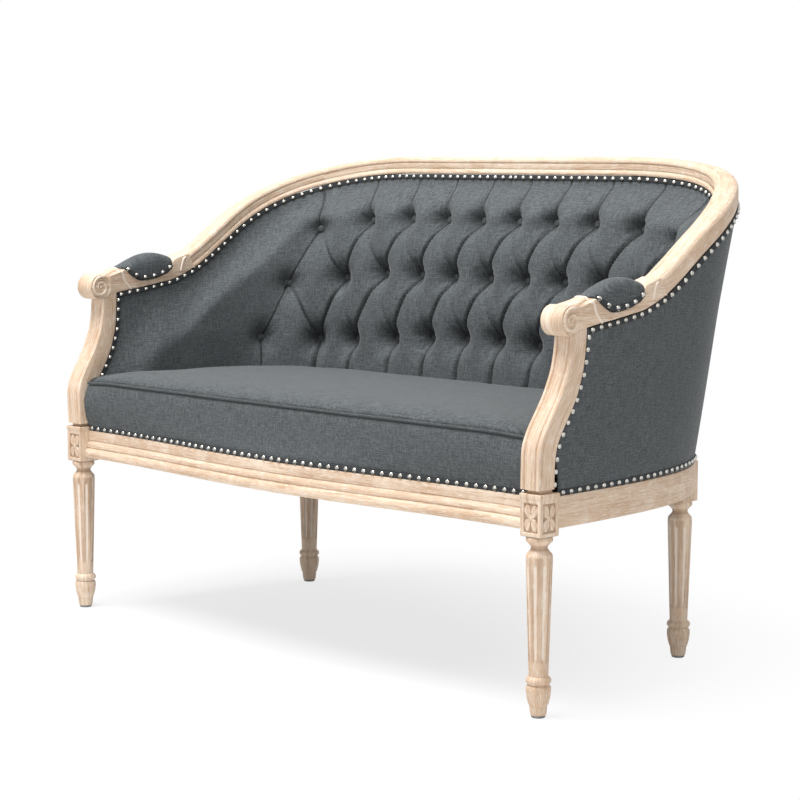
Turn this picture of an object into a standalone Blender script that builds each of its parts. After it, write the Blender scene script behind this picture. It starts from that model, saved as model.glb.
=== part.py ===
"""Tufted loveseat: a deep-buttoned tub settee in a carved, limed oak frame.

Metres, +Z up, +X to the right of someone facing the settee, front towards -Y.
Everything is laid out with y = 0 halfway between the front and back leg axes,
and one parent empty then moves the whole settee so that its footprint is centred.
"""

import bpy
import bmesh
from math import atan2, cos, exp, hypot, pi, radians, sin, sqrt
from mathutils import Vector

# Clearance between pieces that bear on each other
GAP = 0.0003

# Legs: positions of the four axes and the square blocks above the turning
FRONT_LEG_SPREAD = 1.204
BACK_LEG_SPREAD = 0.980
LEG_DEPTH = 0.492
BLOCK_WIDTH = 0.043
BLOCK_CAP_OVERHANG = 0.0012
BLOCK_CAP_HEIGHT = 0.0075
FRONT_BLOCK_BOTTOM = 0.2915
FRONT_BLOCK_TOP = 0.360
BACK_BLOCK_BOTTOM = 0.281
PANEL_MARGIN = 0.0065
PANEL_DEPTH = 0.0018
FLUTES = 8
FLUTE_DEPTH = 0.0018
FLUTE_HALF_ANGLE = radians(6)
GLIDE_RADIUS = 0.0115
GLIDE_HEIGHT = 0.004

# Seat rails
RAIL_BOTTOM = 0.300
RAIL_TOP = 0.352
RAIL_THICKNESS = 0.023
FRONT_RAIL_FORWARD = 0.002
FRONT_BOW = 0.033
SIDE_RAIL_FRONT_X = 0.613
SIDE_RAIL_MIDDLE_X = 0.610
SIDE_RAIL_BULGE_X = 0.605
SIDE_RAIL_BULGE_BEFORE = 0.106
SIDE_RAIL_END_X = 0.515
SIDE_RAIL_END_BEHIND = 0.008

# Arm posts, from the block up to the arm
POST_FOOT = 0.366
POST_NECK_WIDTH = 0.028
POST_WIDTH = 0.041
POST_HEAD_BELOW_ARM = 0.036
POST_KINK = 0.35

# Top rail: arm, rise and crest run on one centre line
TOP_RAIL_X = 0.610
TOP_RAIL_WIDTH = 0.042
TOP_RAIL_HEIGHT = 0.034
ARM_FORWARD = 0.004
CREST_BEHIND = 0.1115
CREST_Z = 0.865
CORNER_RADIUS = 0.2275
ARM_Z = 0.648
ARM_END = 0.270
RISE_START = 0.200
RISE_PULL_LOW = 0.360
RISE_PULL_UP = 0.032
RISE_PULL_HIGH = 0.395
RISE_END = 0.850
CREST_JOINT = 0.600
COVER_CORNER = 0.620
SCROLL_BEHIND = 0.038
SCROLL_DROP = 0.0185
SCROLL_RADIUS = 0.0243
SCROLL_PROUD = 0.0015

# Upholstery
WING_CLEARANCE = 0.0012
WING_EASE = 0.0020
PUFF_HEIGHT = 0.035
WING_CROWN = 0.012
PAD_BACKING = 0.012
LIP_SETBACK = 0.002
LIP_CLEARANCE = 0.0015
LIP_REACH = 0.080
TUFT_ROW_SHARES = (0.355, 0.581, 0.792)
TUFT_END_KEY = 4.5
TUFT_FAN = 0.07
DIMPLE_WIDTH = 0.028
END_STRIP = 0.012
END_STRIP_RISE = 0.007
CREASE_LEVEL = 0.45
BUTTON_RADIUS = 0.0095
BUTTON_SEAT = 0.002
BUTTON_RIM = 0.0065
BUTTON_CROWN = 0.0095
BUTTON_SIDES = 6
SEAT_EDGE_Z = 0.448
SEAT_CROWN_Z = 0.476
SEAT_FORWARD = 0.0135
SEAT_BOW = 0.006
SEAT_POST_CLEARANCE = 0.0015
SEAT_SIDE_TUCK = 0.0165
SEAT_BACK_TUCK = 0.0385
WELT_RADIUS = 0.0025
WELT_SETBACK = 0.0037
COVER_THICKNESS = 0.004
COVER_INSET = 0.0015
ARM_PAD_RISE = 0.0433
ARM_PAD_SPREAD = 0.0015

# Hidden structure
BACK_POST_WIDTH = 0.030
BACK_POST_DEPTH = 0.020
STRAPS_ACROSS = 7
STRAPS_ALONG = 3
STRAP_END_X = 0.410
STRAP_FRONT = 0.096
STRAP_BACK = 0.126
STRAP_WIDTH = 0.050
STRAP_THICKNESS = 0.0015
STRAP_BEARING = 0.010
BRACE_WIDTH = 0.025
BRACE_HEIGHT = 0.036
CORNER_BLOCK_LEG = 0.045
DUST_COVER_INSET = 0.006

# Colours (linear RGB) and roughness
OAK = ((0.60, 0.42, 0.28), 0.55)
FABRIC = ((0.060, 0.070, 0.078), 0.90)
WELT_FABRIC = ((0.055, 0.064, 0.071), 0.90)
BEECH = ((0.55, 0.38, 0.22), 0.65)
JUTE = ((0.45, 0.33, 0.18), 0.95)
LINING = ((0.012, 0.012, 0.013), 0.95)
NYLON = ((0.25, 0.25, 0.25), 0.45)

# Worked out from the sizes above
FRONT_LEG_X = FRONT_LEG_SPREAD / 2
BACK_LEG_X = BACK_LEG_SPREAD / 2
FRONT_LEG_Y = -LEG_DEPTH / 2
BACK_LEG_Y = LEG_DEPTH / 2
FRONT_RAIL_END_Y = FRONT_LEG_Y - FRONT_RAIL_FORWARD
SIDE_RAIL_END_Y = BACK_LEG_Y + SIDE_RAIL_END_BEHIND
ARM_FRONT_Y = FRONT_LEG_Y - ARM_FORWARD
CREST_Y = BACK_LEG_Y + CREST_BEHIND
SCROLL_Y = FRONT_LEG_Y + SCROLL_BEHIND
SCROLL_Z = ARM_Z - SCROLL_DROP
POST_HEAD = ARM_Z - POST_HEAD_BELOW_ARM
BLOCK_HALF = BLOCK_WIDTH / 2
BACK_RAIL_Y = BACK_LEG_Y + BLOCK_HALF
HALF_W = TOP_RAIL_WIDTH / 2
HALF_H = TOP_RAIL_HEIGHT / 2
STRAIGHT = CREST_Y - CORNER_RADIUS - ARM_FRONT_Y
ARC_END = STRAIGHT + CORNER_RADIUS * pi / 2
CREST_HALF = TOP_RAIL_X - CORNER_RADIUS
PATH_END = ARC_END + CREST_HALF
PAD_BOTTOM = RAIL_TOP + 2 * GAP + 1.4 * STRAP_THICKNESS
WING_BOTTOM = FRONT_BLOCK_TOP + WING_CLEARANCE
TUFT_ROW_Z = tuple(RAIL_TOP + share * (CREST_Z - RAIL_TOP) for share in TUFT_ROW_SHARES)
SIDES = (("left", -1), ("right", 1))

for old in list(bpy.data.objects):
    bpy.data.objects.remove(old, do_unlink=True)

settee = bpy.data.objects.new("settee", None)
bpy.context.collection.objects.link(settee)


# Small helpers

def make_material(name, look, metallic=0.0):
    colour, roughness = look
    material = bpy.data.materials.new(name)
    material.use_nodes = True
    shader = material.node_tree.nodes["Principled BSDF"]
    shader.inputs["Base Color"].default_value = (*colour, 1.0)
    shader.inputs["Roughness"].default_value = roughness
    shader.inputs["Metallic"].default_value = metallic
    return material


def add_object(name, bm, look, smooth_angle=35, location=(0, 0, 0), metallic=0.0):
    """Turn a bmesh into a named, shaded object under the settee's empty."""
    bmesh.ops.recalc_face_normals(bm, faces=bm.faces)
    if bm.calc_volume(signed=True) < 0:
        bmesh.ops.reverse_faces(bm, faces=bm.faces)
    mesh = bpy.data.meshes.new(name)
    bm.to_mesh(mesh)
    bm.free()
    mesh.shade_smooth()
    mesh.set_sharp_from_angle(angle=radians(smooth_angle))
    mesh.materials.append(make_material(name, look, metallic))
    piece = bpy.data.objects.new(name, mesh)
    piece.location = location
    piece.parent = settee
    bpy.context.collection.objects.link(piece)
    return piece


def boolean(piece, bm, operation):
    """Join a hidden bmesh to a piece, or cut it away."""
    bmesh.ops.recalc_face_normals(bm, faces=bm.faces)
    mesh = bpy.data.meshes.new(piece.name + "_tool")
    bm.to_mesh(mesh)
    bm.free()
    tool = bpy.data.objects.new(mesh.name, mesh)
    tool.location = piece.location
    tool.parent = settee
    tool.hide_render = True
    tool.display_type = "WIRE"
    bpy.context.collection.objects.link(tool)
    modifier = piece.modifiers.new(operation.lower(), "BOOLEAN")
    modifier.object = tool
    modifier.operation = operation
    modifier.solver = "EXACT"


def add_box(bm, low, high):
    """A box between two corners; returns its faces."""
    xs, ys, zs = zip(low, high)
    corners = [bm.verts.new((x, y, z)) for z in zs for y in ys for x in xs]
    quads = ((0, 1, 3, 2), (4, 6, 7, 5), (0, 4, 5, 1), (2, 3, 7, 6), (0, 2, 6, 4), (1, 5, 7, 3))
    return [bm.faces.new([corners[i] for i in quad]) for quad in quads]


def add_loft(bm, rings):
    """A closed body through rings of points, with flat ends."""
    rows = [[bm.verts.new(p) for p in ring] for ring in rings]
    count = len(rows[0])
    for low, high in zip(rows, rows[1:]):
        for i in range(count):
            j = (i + 1) % count
            bm.faces.new((low[i], low[j], high[j], high[i]))
    bm.faces.new(rows[0][::-1])
    bm.faces.new(rows[-1])


def add_prism(bm, outline, low, high):
    """An outline in plan carried straight up from one height to another."""
    add_loft(bm, [[(x, y, z) for x, y in outline] for z in (low, high)])


def lathe_rows(bm, profile, angles, centre=(0, 0)):
    """Rings of a turned profile of (radius, height) pairs, closed at both ends."""
    rings = []
    for radius, height in profile:
        ring = [(centre[0] + radius * cos(a), centre[1] + radius * sin(a), height) for a in angles]
        rings.append(ring)
    add_loft(bm, rings)


def bezier(points, t):
    """A point on the Bezier curve with four control points."""
    weights = ((1 - t) ** 3, 3 * t * (1 - t) ** 2, 3 * t * t * (1 - t), t ** 3)
    return tuple(sum(w * p[i] for w, p in zip(weights, points)) for i in range(len(points[0])))


def mix(a, b, t):
    return a + (b - a) * t


def table(pairs, x):
    """Straight-line reading between (x, value) pairs, held at both ends."""
    if x <= pairs[0][0]:
        return pairs[0][1]
    for (x0, v0), (x1, v1) in zip(pairs, pairs[1:]):
        if x <= x1:
            return mix(v0, v1, (x - x0) / (x1 - x0))
    return pairs[-1][1]


def ease(t):
    t = min(max(t, 0.0), 1.0)
    return t * t * (3 - 2 * t)


# Curves that several pieces share

def front_edge(x):
    """The bowed front of the seat rail in plan."""
    reach = FRONT_LEG_X - BLOCK_HALF - 0.03
    wave = cos(pi / 2 * min(abs(x) / reach, 1.0)) ** 2
    return FRONT_RAIL_END_Y - FRONT_BOW * wave


SIDE_RAIL_CURVE = (
    (SIDE_RAIL_FRONT_X, FRONT_LEG_Y + BLOCK_HALF),
    (SIDE_RAIL_MIDDLE_X, FRONT_LEG_Y + 0.44 * LEG_DEPTH),
    (SIDE_RAIL_BULGE_X, BACK_LEG_Y - SIDE_RAIL_BULGE_BEFORE),
    (SIDE_RAIL_END_X, SIDE_RAIL_END_Y),
)


def side_rail_plan(t, inset=0.0):
    """The side rail's outer face in plan, moved inwards by an inset."""
    x0, y0 = bezier(SIDE_RAIL_CURVE, max(t - 0.01, 0.0))
    x1, y1 = bezier(SIDE_RAIL_CURVE, min(t + 0.01, 1.0))
    x, y = bezier(SIDE_RAIL_CURVE, t)
    length = hypot(x1 - x0, y1 - y0)
    return x - inset * (y1 - y0) / length, y + inset * (x1 - x0) / length


def rail_plan(s, offset=0.0):
    """The top rail in plan: along the arm, round the corner and along the crest."""
    if s < STRAIGHT:
        return TOP_RAIL_X + offset, ARM_FRONT_Y + s
    if s < ARC_END:
        angle = (s - STRAIGHT) / CORNER_RADIUS
        radius = CORNER_RADIUS + offset
        return CREST_HALF + radius * cos(angle), CREST_Y - CORNER_RADIUS + radius * sin(angle)
    return CREST_HALF - (s - ARC_END), CREST_Y + offset


RISE_CURVE = (
    (RISE_START, ARM_Z),
    (RISE_PULL_LOW, ARM_Z + RISE_PULL_UP),
    (RISE_PULL_HIGH, CREST_Z),
    (RISE_END, CREST_Z),
)


def rail_height(s):
    """Height of the top rail's centre line at a distance along it."""
    if s >= RISE_END:
        return CREST_Z
    if s <= RISE_START:
        slope = RISE_PULL_UP / (RISE_PULL_LOW - RISE_START)
        return ARM_Z - slope * (RISE_START - s)
    low, high = 0.0, 1.0
    for _ in range(30):
        t = (low + high) / 2
        if bezier(RISE_CURVE, t)[0] < s:
            low = t
        else:
            high = t
    return bezier(RISE_CURVE, low)[1]


def rail_slope(s):
    step = 0.004
    return (rail_height(s + step) - rail_height(s - step)) / (2 * step)


def rail_edge(s, offset, drop):
    """A point on the top rail's section: offset outwards, drop below its centre line."""
    slope = rail_slope(s)
    stretch = sqrt(1 + slope * slope)
    along = s + drop * slope / stretch
    x, y = rail_plan(along, offset)
    return x, y, rail_height(s) - drop / stretch


def side(points, sign):
    """Mirror (x, y) or (x, y, z) points to the left when the sign is -1."""
    return [(p[0] * sign, *p[1:]) for p in points]


# Legs, blocks and glides

def ring_angles():
    """Four points for each flute: the groove, its two edges and the arris between."""
    pitch = 2 * pi / FLUTES
    angles = []
    for flute in range(FLUTES):
        start = flute * pitch + pitch / 2
        angles += [start - FLUTE_HALF_ANGLE, start, start + FLUTE_HALF_ANGLE, start + pitch / 2]
    return angles


def leg_profile(block_bottom):
    """Radii and heights of the turning, from the block down to the glide."""
    shoulder = block_bottom - 0.034
    return (
        (0.0185, block_bottom + 0.004, 0),
        (0.0212, block_bottom - 0.004, 0),
        (0.0212, block_bottom - 0.008, 0),
        (0.0172, block_bottom - 0.012, 0),
        (0.0130, block_bottom - 0.0185, 0),
        (0.0165, block_bottom - 0.024, 0),
        (0.0206, block_bottom - 0.029, 0),
        (0.0214, shoulder, 0.3),
        (0.0213, shoulder - 0.008, 1),
        (0.0164, 0.092, 1),
        (0.0156, 0.0665, 0),
        (0.0190, 0.0645, 0),
        (0.0206, 0.0600, 0),
        (0.0190, 0.0555, 0),
        (0.0165, 0.0535, 0),
        (0.0200, 0.0480, 0),
        (0.0188, 0.0280, 0),
        (0.0150, 0.0130, 0),
        (0.0130, GLIDE_HEIGHT + GAP, 0),
    )


def add_turning(bm, block_bottom):
    """The fluted turning: grooves cut along the tapered shaft only."""
    angles = ring_angles()
    rings = []
    for radius, height, flute in leg_profile(block_bottom):
        ring = []
        for i, angle in enumerate(angles):
            r = radius - (FLUTE_DEPTH * flute if i % 4 == 1 else 0.0)
            ring.append((r * cos(angle), r * sin(angle), height))
        rings.append(ring)
    add_loft(bm, rings)


def recess(bm, face, margin, depth):
    """Sink a panel into one flat face."""
    bmesh.ops.inset_region(bm, faces=[face], thickness=margin)
    bmesh.ops.inset_region(bm, faces=[face], thickness=0.001, depth=-depth)


def make_front_leg(name, sign):
    """Square carved block with a moulded cap, then the fluted turning."""
    bm = bmesh.new()
    cap = BLOCK_HALF + BLOCK_CAP_OVERHANG
    levels = (
        (BLOCK_HALF - 0.0015, FRONT_BLOCK_BOTTOM),
        (BLOCK_HALF, FRONT_BLOCK_BOTTOM + 0.0015),
        (BLOCK_HALF, FRONT_BLOCK_TOP - BLOCK_CAP_HEIGHT),
        (cap, FRONT_BLOCK_TOP - BLOCK_CAP_HEIGHT + 0.002),
        (cap, FRONT_BLOCK_TOP - 0.003),
        (cap - 0.004, FRONT_BLOCK_TOP),
    )
    add_loft(bm, [[(-h, -h, z), (h, -h, z), (h, h, z), (-h, h, z)] for h, z in levels])
    bm.normal_update()
    tall = [f for f in bm.faces if abs(f.normal.z) < 0.01 and f.calc_area() > 0.002]
    for face in tall:
        outward = face.calc_center_median()
        if outward.y < -BLOCK_HALF / 2 or outward.x * sign > BLOCK_HALF / 2:
            recess(bm, face, PANEL_MARGIN, PANEL_DEPTH)
    leg = add_object(name, bm, OAK, location=(sign * FRONT_LEG_X, FRONT_LEG_Y, 0))
    turning = bmesh.new()
    add_turning(turning, FRONT_BLOCK_BOTTOM)
    boolean(leg, turning, "UNION")


def make_back_leg(name, sign):
    """Plain block let into the corner of the rails, then the same turning."""
    bm = bmesh.new()
    half = BLOCK_HALF
    levels = ((half - 0.001, BACK_BLOCK_BOTTOM), (half, BACK_BLOCK_BOTTOM + 0.001), (half, RAIL_TOP))
    add_loft(bm, [[(-h, -h, z), (h, -h, z), (h, h, z), (-h, h, z)] for h, z in levels])
    leg = add_object(name, bm, OAK, location=(sign * BACK_LEG_X, BACK_LEG_Y, 0))
    turning = bmesh.new()
    add_turning(turning, BACK_BLOCK_BOTTOM)
    boolean(leg, turning, "UNION")


def make_glide(name, x, y):
    bm = bmesh.new()
    profile = ((GLIDE_RADIUS - 0.001, 0), (GLIDE_RADIUS, 0.001), (GLIDE_RADIUS, GLIDE_HEIGHT))
    lathe_rows(bm, profile, [2 * pi * i / 16 for i in range(16)])
    add_object(name, bm, NYLON, location=(x, y, 0))


# Seat rails

FRONT_RAIL_PROFILE = (
    (0.0000, 0.0000),
    (-0.0012, 0.0020),
    (-0.0012, 0.0180),
    (0.0008, 0.0195),
    (-0.0030, 0.0215),
    (-0.0055, 0.0310),
    (-0.0035, 0.0330),
    (-0.0085, 0.0350),
    (-0.0110, 0.0420),
    (-0.0110, 0.0490),
    (-0.0080, 0.0520),
)


def make_front_rail():
    """The bowed front rail: its moulded face swept along the bow."""
    bm = bmesh.new()
    end = FRONT_LEG_X - BLOCK_HALF - GAP
    drop = RAIL_TOP - RAIL_BOTTOM
    scale = drop / FRONT_RAIL_PROFILE[-1][1]
    rings = []
    for i in range(29):
        x = mix(-end, end, i / 28)
        y = front_edge(x)
        ring = [(x, y + forward, RAIL_TOP - down * scale) for forward, down in FRONT_RAIL_PROFILE]
        ring += [(x, y + RAIL_THICKNESS, RAIL_BOTTOM), (x, y + RAIL_THICKNESS, RAIL_TOP)]
        rings.append(ring)
    add_loft(bm, rings)
    add_object("front_rail", bm, OAK)


def make_side_rail(name, sign):
    """The curved side rail, lapped over the back leg's block at its rear end."""
    bm = bmesh.new()
    start = 0.0022
    rings = []
    for i in range(17):
        t = mix(start, 1.0, i / 16)
        outer = (0.0, RAIL_BOTTOM + 0.002), (0.0, RAIL_TOP - 0.002)
        inner = (RAIL_THICKNESS, RAIL_TOP), (RAIL_THICKNESS, RAIL_BOTTOM)
        section = (*outer, (0.002, RAIL_TOP), *inner, (0.002, RAIL_BOTTOM))
        rings.append([(*side_rail_plan(t, inset), z) for inset, z in section])
    add_loft(bm, [side(ring, sign) for ring in rings])
    rail = add_object(name, bm, OAK)
    cut = bmesh.new()
    reach = BLOCK_HALF + GAP
    low = (BACK_LEG_X - 2 * reach, BACK_LEG_Y - reach, RAIL_BOTTOM - 0.01)
    high = (BACK_LEG_X + reach, BACK_LEG_Y + 2 * reach, RAIL_TOP + 0.01)
    add_box(cut, (low[0] * sign, *low[1:]), (high[0] * sign, *high[1:]))
    boolean(rail, cut, "DIFFERENCE")


def make_back_rail():
    bm = bmesh.new()
    end = BACK_LEG_X - BLOCK_HALF - GAP
    low = (-end, BACK_RAIL_Y - RAIL_THICKNESS, RAIL_BOTTOM)
    add_box(bm, low, (end, BACK_RAIL_Y, RAIL_TOP))
    bmesh.ops.bevel(bm, geom=bm.edges[:], offset=0.0015, segments=1, affect="EDGES")
    add_object("back_rail", bm, BEECH)


# Arm posts

POST_STATIONS = (
    # share of the height, front face from the leg's axis, depth, sideways shift
    (0.000, -0.0225, 0.0380, -0.002),
    (0.138, -0.0230, 0.0380, -0.001),
    (0.260, -0.0225, 0.0410, 0.000),
    (0.341, -0.0165, 0.0430, 0.001),
    (0.423, -0.0055, 0.0440, 0.002),
    (0.504, 0.0075, 0.0430, 0.003),
    (0.585, 0.0195, 0.0410, 0.004),
    (0.667, 0.0290, 0.0380, 0.005),
    (0.748, 0.0365, 0.0360, 0.006),
    (0.850, 0.0415, 0.0340, 0.007),
    (1.000, 0.0450, 0.0330, 0.008),
)

# Underside of the arm from the scroll to the rise: behind the leg's axis, above the centre line
ARM_UNDERSIDE_SHAPE = (
    (0.0450, -0.0418),
    (0.0510, -0.0390),
    (0.0565, -0.0344),
    (0.0800, -0.0310),
    (0.1090, -0.0265),
    (0.1460, -0.0218),
    (0.1840, -0.0158),
    (0.2220, -0.0090),
)

# The saddle cut for the arm pad, from back to front, measured the same way
SADDLE_SHAPE = (
    (0.2198, 0.0290),
    (0.2175, 0.0240),
    (0.2150, 0.0170),
    (0.2041, 0.0045),
    (0.1793, -0.0044),
    (0.1580, -0.0082),
    (0.1363, -0.0092),
    (0.1190, -0.0010),
    (0.1056, 0.0090),
    (0.0960, 0.0155),
    (0.0850, 0.0182),
)


def on_arm(shape):
    """Place (behind the leg's axis, above the centre line) pairs as (y, z)."""
    return tuple((FRONT_LEG_Y + behind, ARM_Z + up) for behind, up in shape)


ARM_UNDERSIDE = on_arm(ARM_UNDERSIDE_SHAPE)


def post_height(share):
    return mix(POST_FOOT, POST_HEAD, share)


def post_reading(z):
    """Front y, depth and sideways shift of the arm post at a height."""
    share = (z - POST_FOOT) / (POST_HEAD - POST_FOOT)
    front, depth, shift = (table([(row[0], row[column]) for row in POST_STATIONS], share)
                           for column in (1, 2, 3))
    return FRONT_LEG_Y + front, depth, shift


def post_section(z):
    """One slice of the arm post, with two grooves down its front face."""
    front, depth, shift = post_reading(z)
    half = POST_WIDTH / 2
    x = FRONT_LEG_X + shift
    groove, width, edge = 0.0016, 0.0022, 0.008
    kink = POST_KINK * depth
    face = [(-half, kink), (-half, 0.003), (-half + 0.003, 0.0)]
    for centre in (-half + edge, half - edge):
        face += [(centre - width, 0.0), (centre, groove), (centre + width, 0.0)]
    face += [(half - 0.003, 0.0), (half, 0.003), (half, kink)]
    back = [(half, depth - 0.003), (half - 0.003, depth), (-half + 0.003, depth), (-half, depth - 0.003)]
    return [(x + dx, front + dy) for dx, dy in face + back]


def make_arm_post(name, sign):
    """The S-curved post: slices lofted from the block's cap to the arm."""
    bm = bmesh.new()
    heights = [post_height(row[0]) for row in POST_STATIONS]
    rings = [[(x, y, z) for x, y in post_section(z)] for z in heights]
    front, depth, _ = post_reading(POST_HEAD)
    bends = [(y, table(ARM_UNDERSIDE, y) - GAP - lower)
             for y, lower in ((front, 0.0003), (front + POST_KINK * depth, 0.0026), (front + depth, 0.0))]
    rings[-1] = [(x, y, table(bends, y)) for x, y, _ in rings[-1]]
    add_loft(bm, [side(ring, sign) for ring in rings])
    bm.faces.ensure_lookup_table()
    head = bm.faces[-1]
    corners = list(head.verts)
    bm.faces.remove(head)
    bm.faces.new(corners[:-4])
    bm.faces.new(corners[-5:] + corners[:1])
    post = add_object(name, bm, OAK)
    neck = bmesh.new()
    half = POST_NECK_WIDTH / 2
    x, y = FRONT_LEG_X * sign, FRONT_LEG_Y
    add_box(neck, (x - half, y - half, FRONT_BLOCK_TOP + GAP), (x + half, y + half, POST_FOOT + 0.003))
    boolean(post, neck, "UNION")


# Arms

# Beads before and behind the saddle, measured like the saddle
RIBS = (
    ((0.1135, -0.0245), (0.0990, -0.0120), (0.0930, 0.0000), (0.0885, 0.0155)),
    ((0.2375, 0.0065), (0.2415, 0.0200), (0.2470, 0.0335)),
)


def arm_outline():
    """The arm from the side as (y, z): underside, end, saddle for the pad, scroll."""
    end_low = rail_edge(ARM_END, 0, HALF_H)[1:]
    end_high = rail_edge(ARM_END, 0, -HALF_H)[1:]
    outline = [*ARM_UNDERSIDE, end_low, end_high, *on_arm(SADDLE_SHAPE), *on_arm(((0.066, 0.0138),))]
    for i in range(15):
        angle = radians(mix(82, 284, i / 14))
        outline.append((SCROLL_Y + SCROLL_RADIUS * cos(angle), SCROLL_Z + SCROLL_RADIUS * sin(angle)))
    return outline


def spiral(turns=1.9, steps=26):
    """Centre line of the carved volute on the scroll's cheek, as (y, z)."""
    points = []
    for i in range(steps + 1):
        t = i / steps
        radius = mix(SCROLL_RADIUS - 0.0035, 0.0035, t)
        angle = radians(60) + 2 * pi * turns * t
        points.append((SCROLL_Y + radius * cos(angle), SCROLL_Z + radius * sin(angle), mix(1, 0.7, t)))
    return points


def add_volute(bm, x, out):
    """A raised ridge along the spiral, standing on the cheek at x."""
    points = spiral()
    rings = []
    for i, (y, z, size) in enumerate(points):
        before = points[max(i - 1, 0)]
        after = points[min(i + 1, len(points) - 1)]
        ty, tz = after[0] - before[0], after[1] - before[1]
        length = hypot(ty, tz)
        ny, nz = tz / length, -ty / length
        half = 0.0020 * size
        sunk, proud = x - 0.001 * out, x + 0.0016 * out * size
        rings.append([
            (sunk, y - ny * half, z - nz * half),
            (proud, y - ny * half * 0.4, z - nz * half * 0.4),
            (proud, y + ny * half * 0.4, z + nz * half * 0.4),
            (sunk, y + ny * half, z + nz * half),
        ])
    add_loft(bm, rings)


def add_rib(bm, line, width):
    """A raised bead across the arm at one end of the pad, along a line of (y, z) points."""
    line = [Vector(point) for point in line]
    low, high = [], []
    for i, point in enumerate(line):
        along = (line[min(i + 1, len(line) - 1)] - line[max(i - 1, 0)]).normalized()
        across = Vector((along.y, -along.x)) * 0.0022
        low.append(point - across)
        high.append(point + across)
    reach = width / 2
    rings = [[(x, p.x, p.y) for p in low + high[::-1]] for x in (TOP_RAIL_X - reach, TOP_RAIL_X + reach)]
    add_loft(bm, rings)


def make_arm(name, sign):
    """The arm: its side outline carried across, with scroll drum, volutes and beads."""
    bm = bmesh.new()
    outline = arm_outline()
    rings = []
    for inset, x in ((0.002, -HALF_W), (0.0, -HALF_W + 0.002), (0.0, HALF_W - 0.002), (0.002, HALF_W)):
        rings.append([(TOP_RAIL_X + x, *p) for p in shrink(outline, inset)])
    add_loft(bm, [side(ring, sign) for ring in rings])
    arm = add_object(name, bm, OAK)
    drum = bmesh.new()
    reach = HALF_W + SCROLL_PROUD
    rings = []
    for x, radius in ((-reach, 0.9), (-reach + 0.0015, 1.0), (reach - 0.0015, 1.0), (reach, 0.9)):
        r = (SCROLL_RADIUS - 0.0006) * radius
        ring = [2 * pi * i / 20 for i in range(20)]
        rings.append([(TOP_RAIL_X + x, SCROLL_Y + r * cos(a), SCROLL_Z + r * sin(a)) for a in ring])
    add_loft(drum, [side(ring, sign) for ring in rings])
    boolean(arm, drum, "UNION")
    for out in (-1, 1):
        ridge = bmesh.new()
        add_volute(ridge, sign * (TOP_RAIL_X + out * reach), sign * out)
        boolean(arm, ridge, "UNION")
    for line in RIBS:
        rib = bmesh.new()
        add_rib(rib, on_arm(line), TOP_RAIL_WIDTH + 0.0024)
        for vert in rib.verts:
            vert.co.x *= sign
        boolean(arm, rib, "UNION")


def shrink(outline, inset):
    """Move an outline's points inwards along the bisectors of its corners."""
    count = len(outline)
    centre_turn = sum(
        outline[i][0] * outline[(i + 1) % count][1] - outline[(i + 1) % count][0] * outline[i][1]
        for i in range(count)
    )
    turn = 1 if centre_turn > 0 else -1
    moved = []
    for i, point in enumerate(outline):
        before = (Vector(point) - Vector(outline[i - 1])).normalized()
        after = (Vector(outline[(i + 1) % count]) - Vector(point)).normalized()
        normal = Vector((-before.y - after.y, before.x + after.x)).normalized()
        mitre = 1 / max(normal.dot(Vector((-after.y, after.x))), 0.6)
        moved.append(tuple(Vector(point) + normal * inset * turn * mitre))
    return moved


# Rising side rails and the crest

TOP_RAIL_PROFILE = (
    # outwards from the centre line, up: plain outside, three bands inside
    (0.0210, -0.0120),
    (0.0210, 0.0100),
    (0.0170, 0.0155),
    (0.0060, 0.0170),
    (-0.0120, 0.0170),
    (-0.0180, 0.0145),
    (-0.0205, 0.0100),
    (-0.0200, 0.0062),
    (-0.0172, 0.0046),
    (-0.0190, 0.0030),
    (-0.0190, -0.0050),
    (-0.0164, -0.0066),
    (-0.0186, -0.0082),
    (-0.0210, -0.0110),
    (-0.0210, -0.0155),
    (-0.0190, -0.0170),
    (0.0160, -0.0170),
)


def top_rail_ring(s, sign):
    scale_n, scale_u = HALF_W / 0.021, HALF_H / 0.017
    ring = [rail_edge(s, n * scale_n, -u * scale_u) for n, u in TOP_RAIL_PROFILE]
    return side(ring, sign)


def make_side_top_rail(name, sign):
    """The rail that sweeps up from the arm and round to the crest."""
    bm = bmesh.new()
    start, end = ARM_END + GAP, CREST_JOINT - GAP
    add_loft(bm, [top_rail_ring(mix(start, end, i / 14), sign) for i in range(15)])
    add_object(name, bm, OAK)


def make_crest_rail():
    """The crest: both corner ends and the straight between them in one piece."""
    bm = bmesh.new()
    stations = [mix(CREST_JOINT, ARC_END, i / 6) for i in range(7)]
    stations += [mix(ARC_END, PATH_END, i / 4) for i in (1, 2, 3)]
    right = [top_rail_ring(s, 1) for s in stations]
    middle = [top_rail_ring(PATH_END, 1)]
    left = [top_rail_ring(s, -1) for s in reversed(stations)]
    add_loft(bm, right + middle + left)
    add_object("crest_rail", bm, OAK)


# Inside upholstery: one tub-shaped surface, read by arc length and height

TUB_ROWS = (
    # share of the height, back from the crest, side from the rail, corner radius
    (0.008, -0.1115, -0.0500, 0.210),
    (0.347, -0.0895, -0.0480, 0.220),
    (0.581, -0.0735, -0.0380, 0.240),
    (0.791, -0.0465, -0.0280, 0.250),
    (0.971, -0.0230, -0.0225, 0.206),
)


def tub_reading(z):
    """Depth of the back, half width and corner radius of the tub at a height."""
    share = (z - RAIL_TOP) / (CREST_Z - RAIL_TOP)
    back, wall, radius = (table([(row[0], row[column]) for row in TUB_ROWS], share)
                          for column in (1, 2, 3))
    return CREST_Y + back, TOP_RAIL_X + wall, radius


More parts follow.
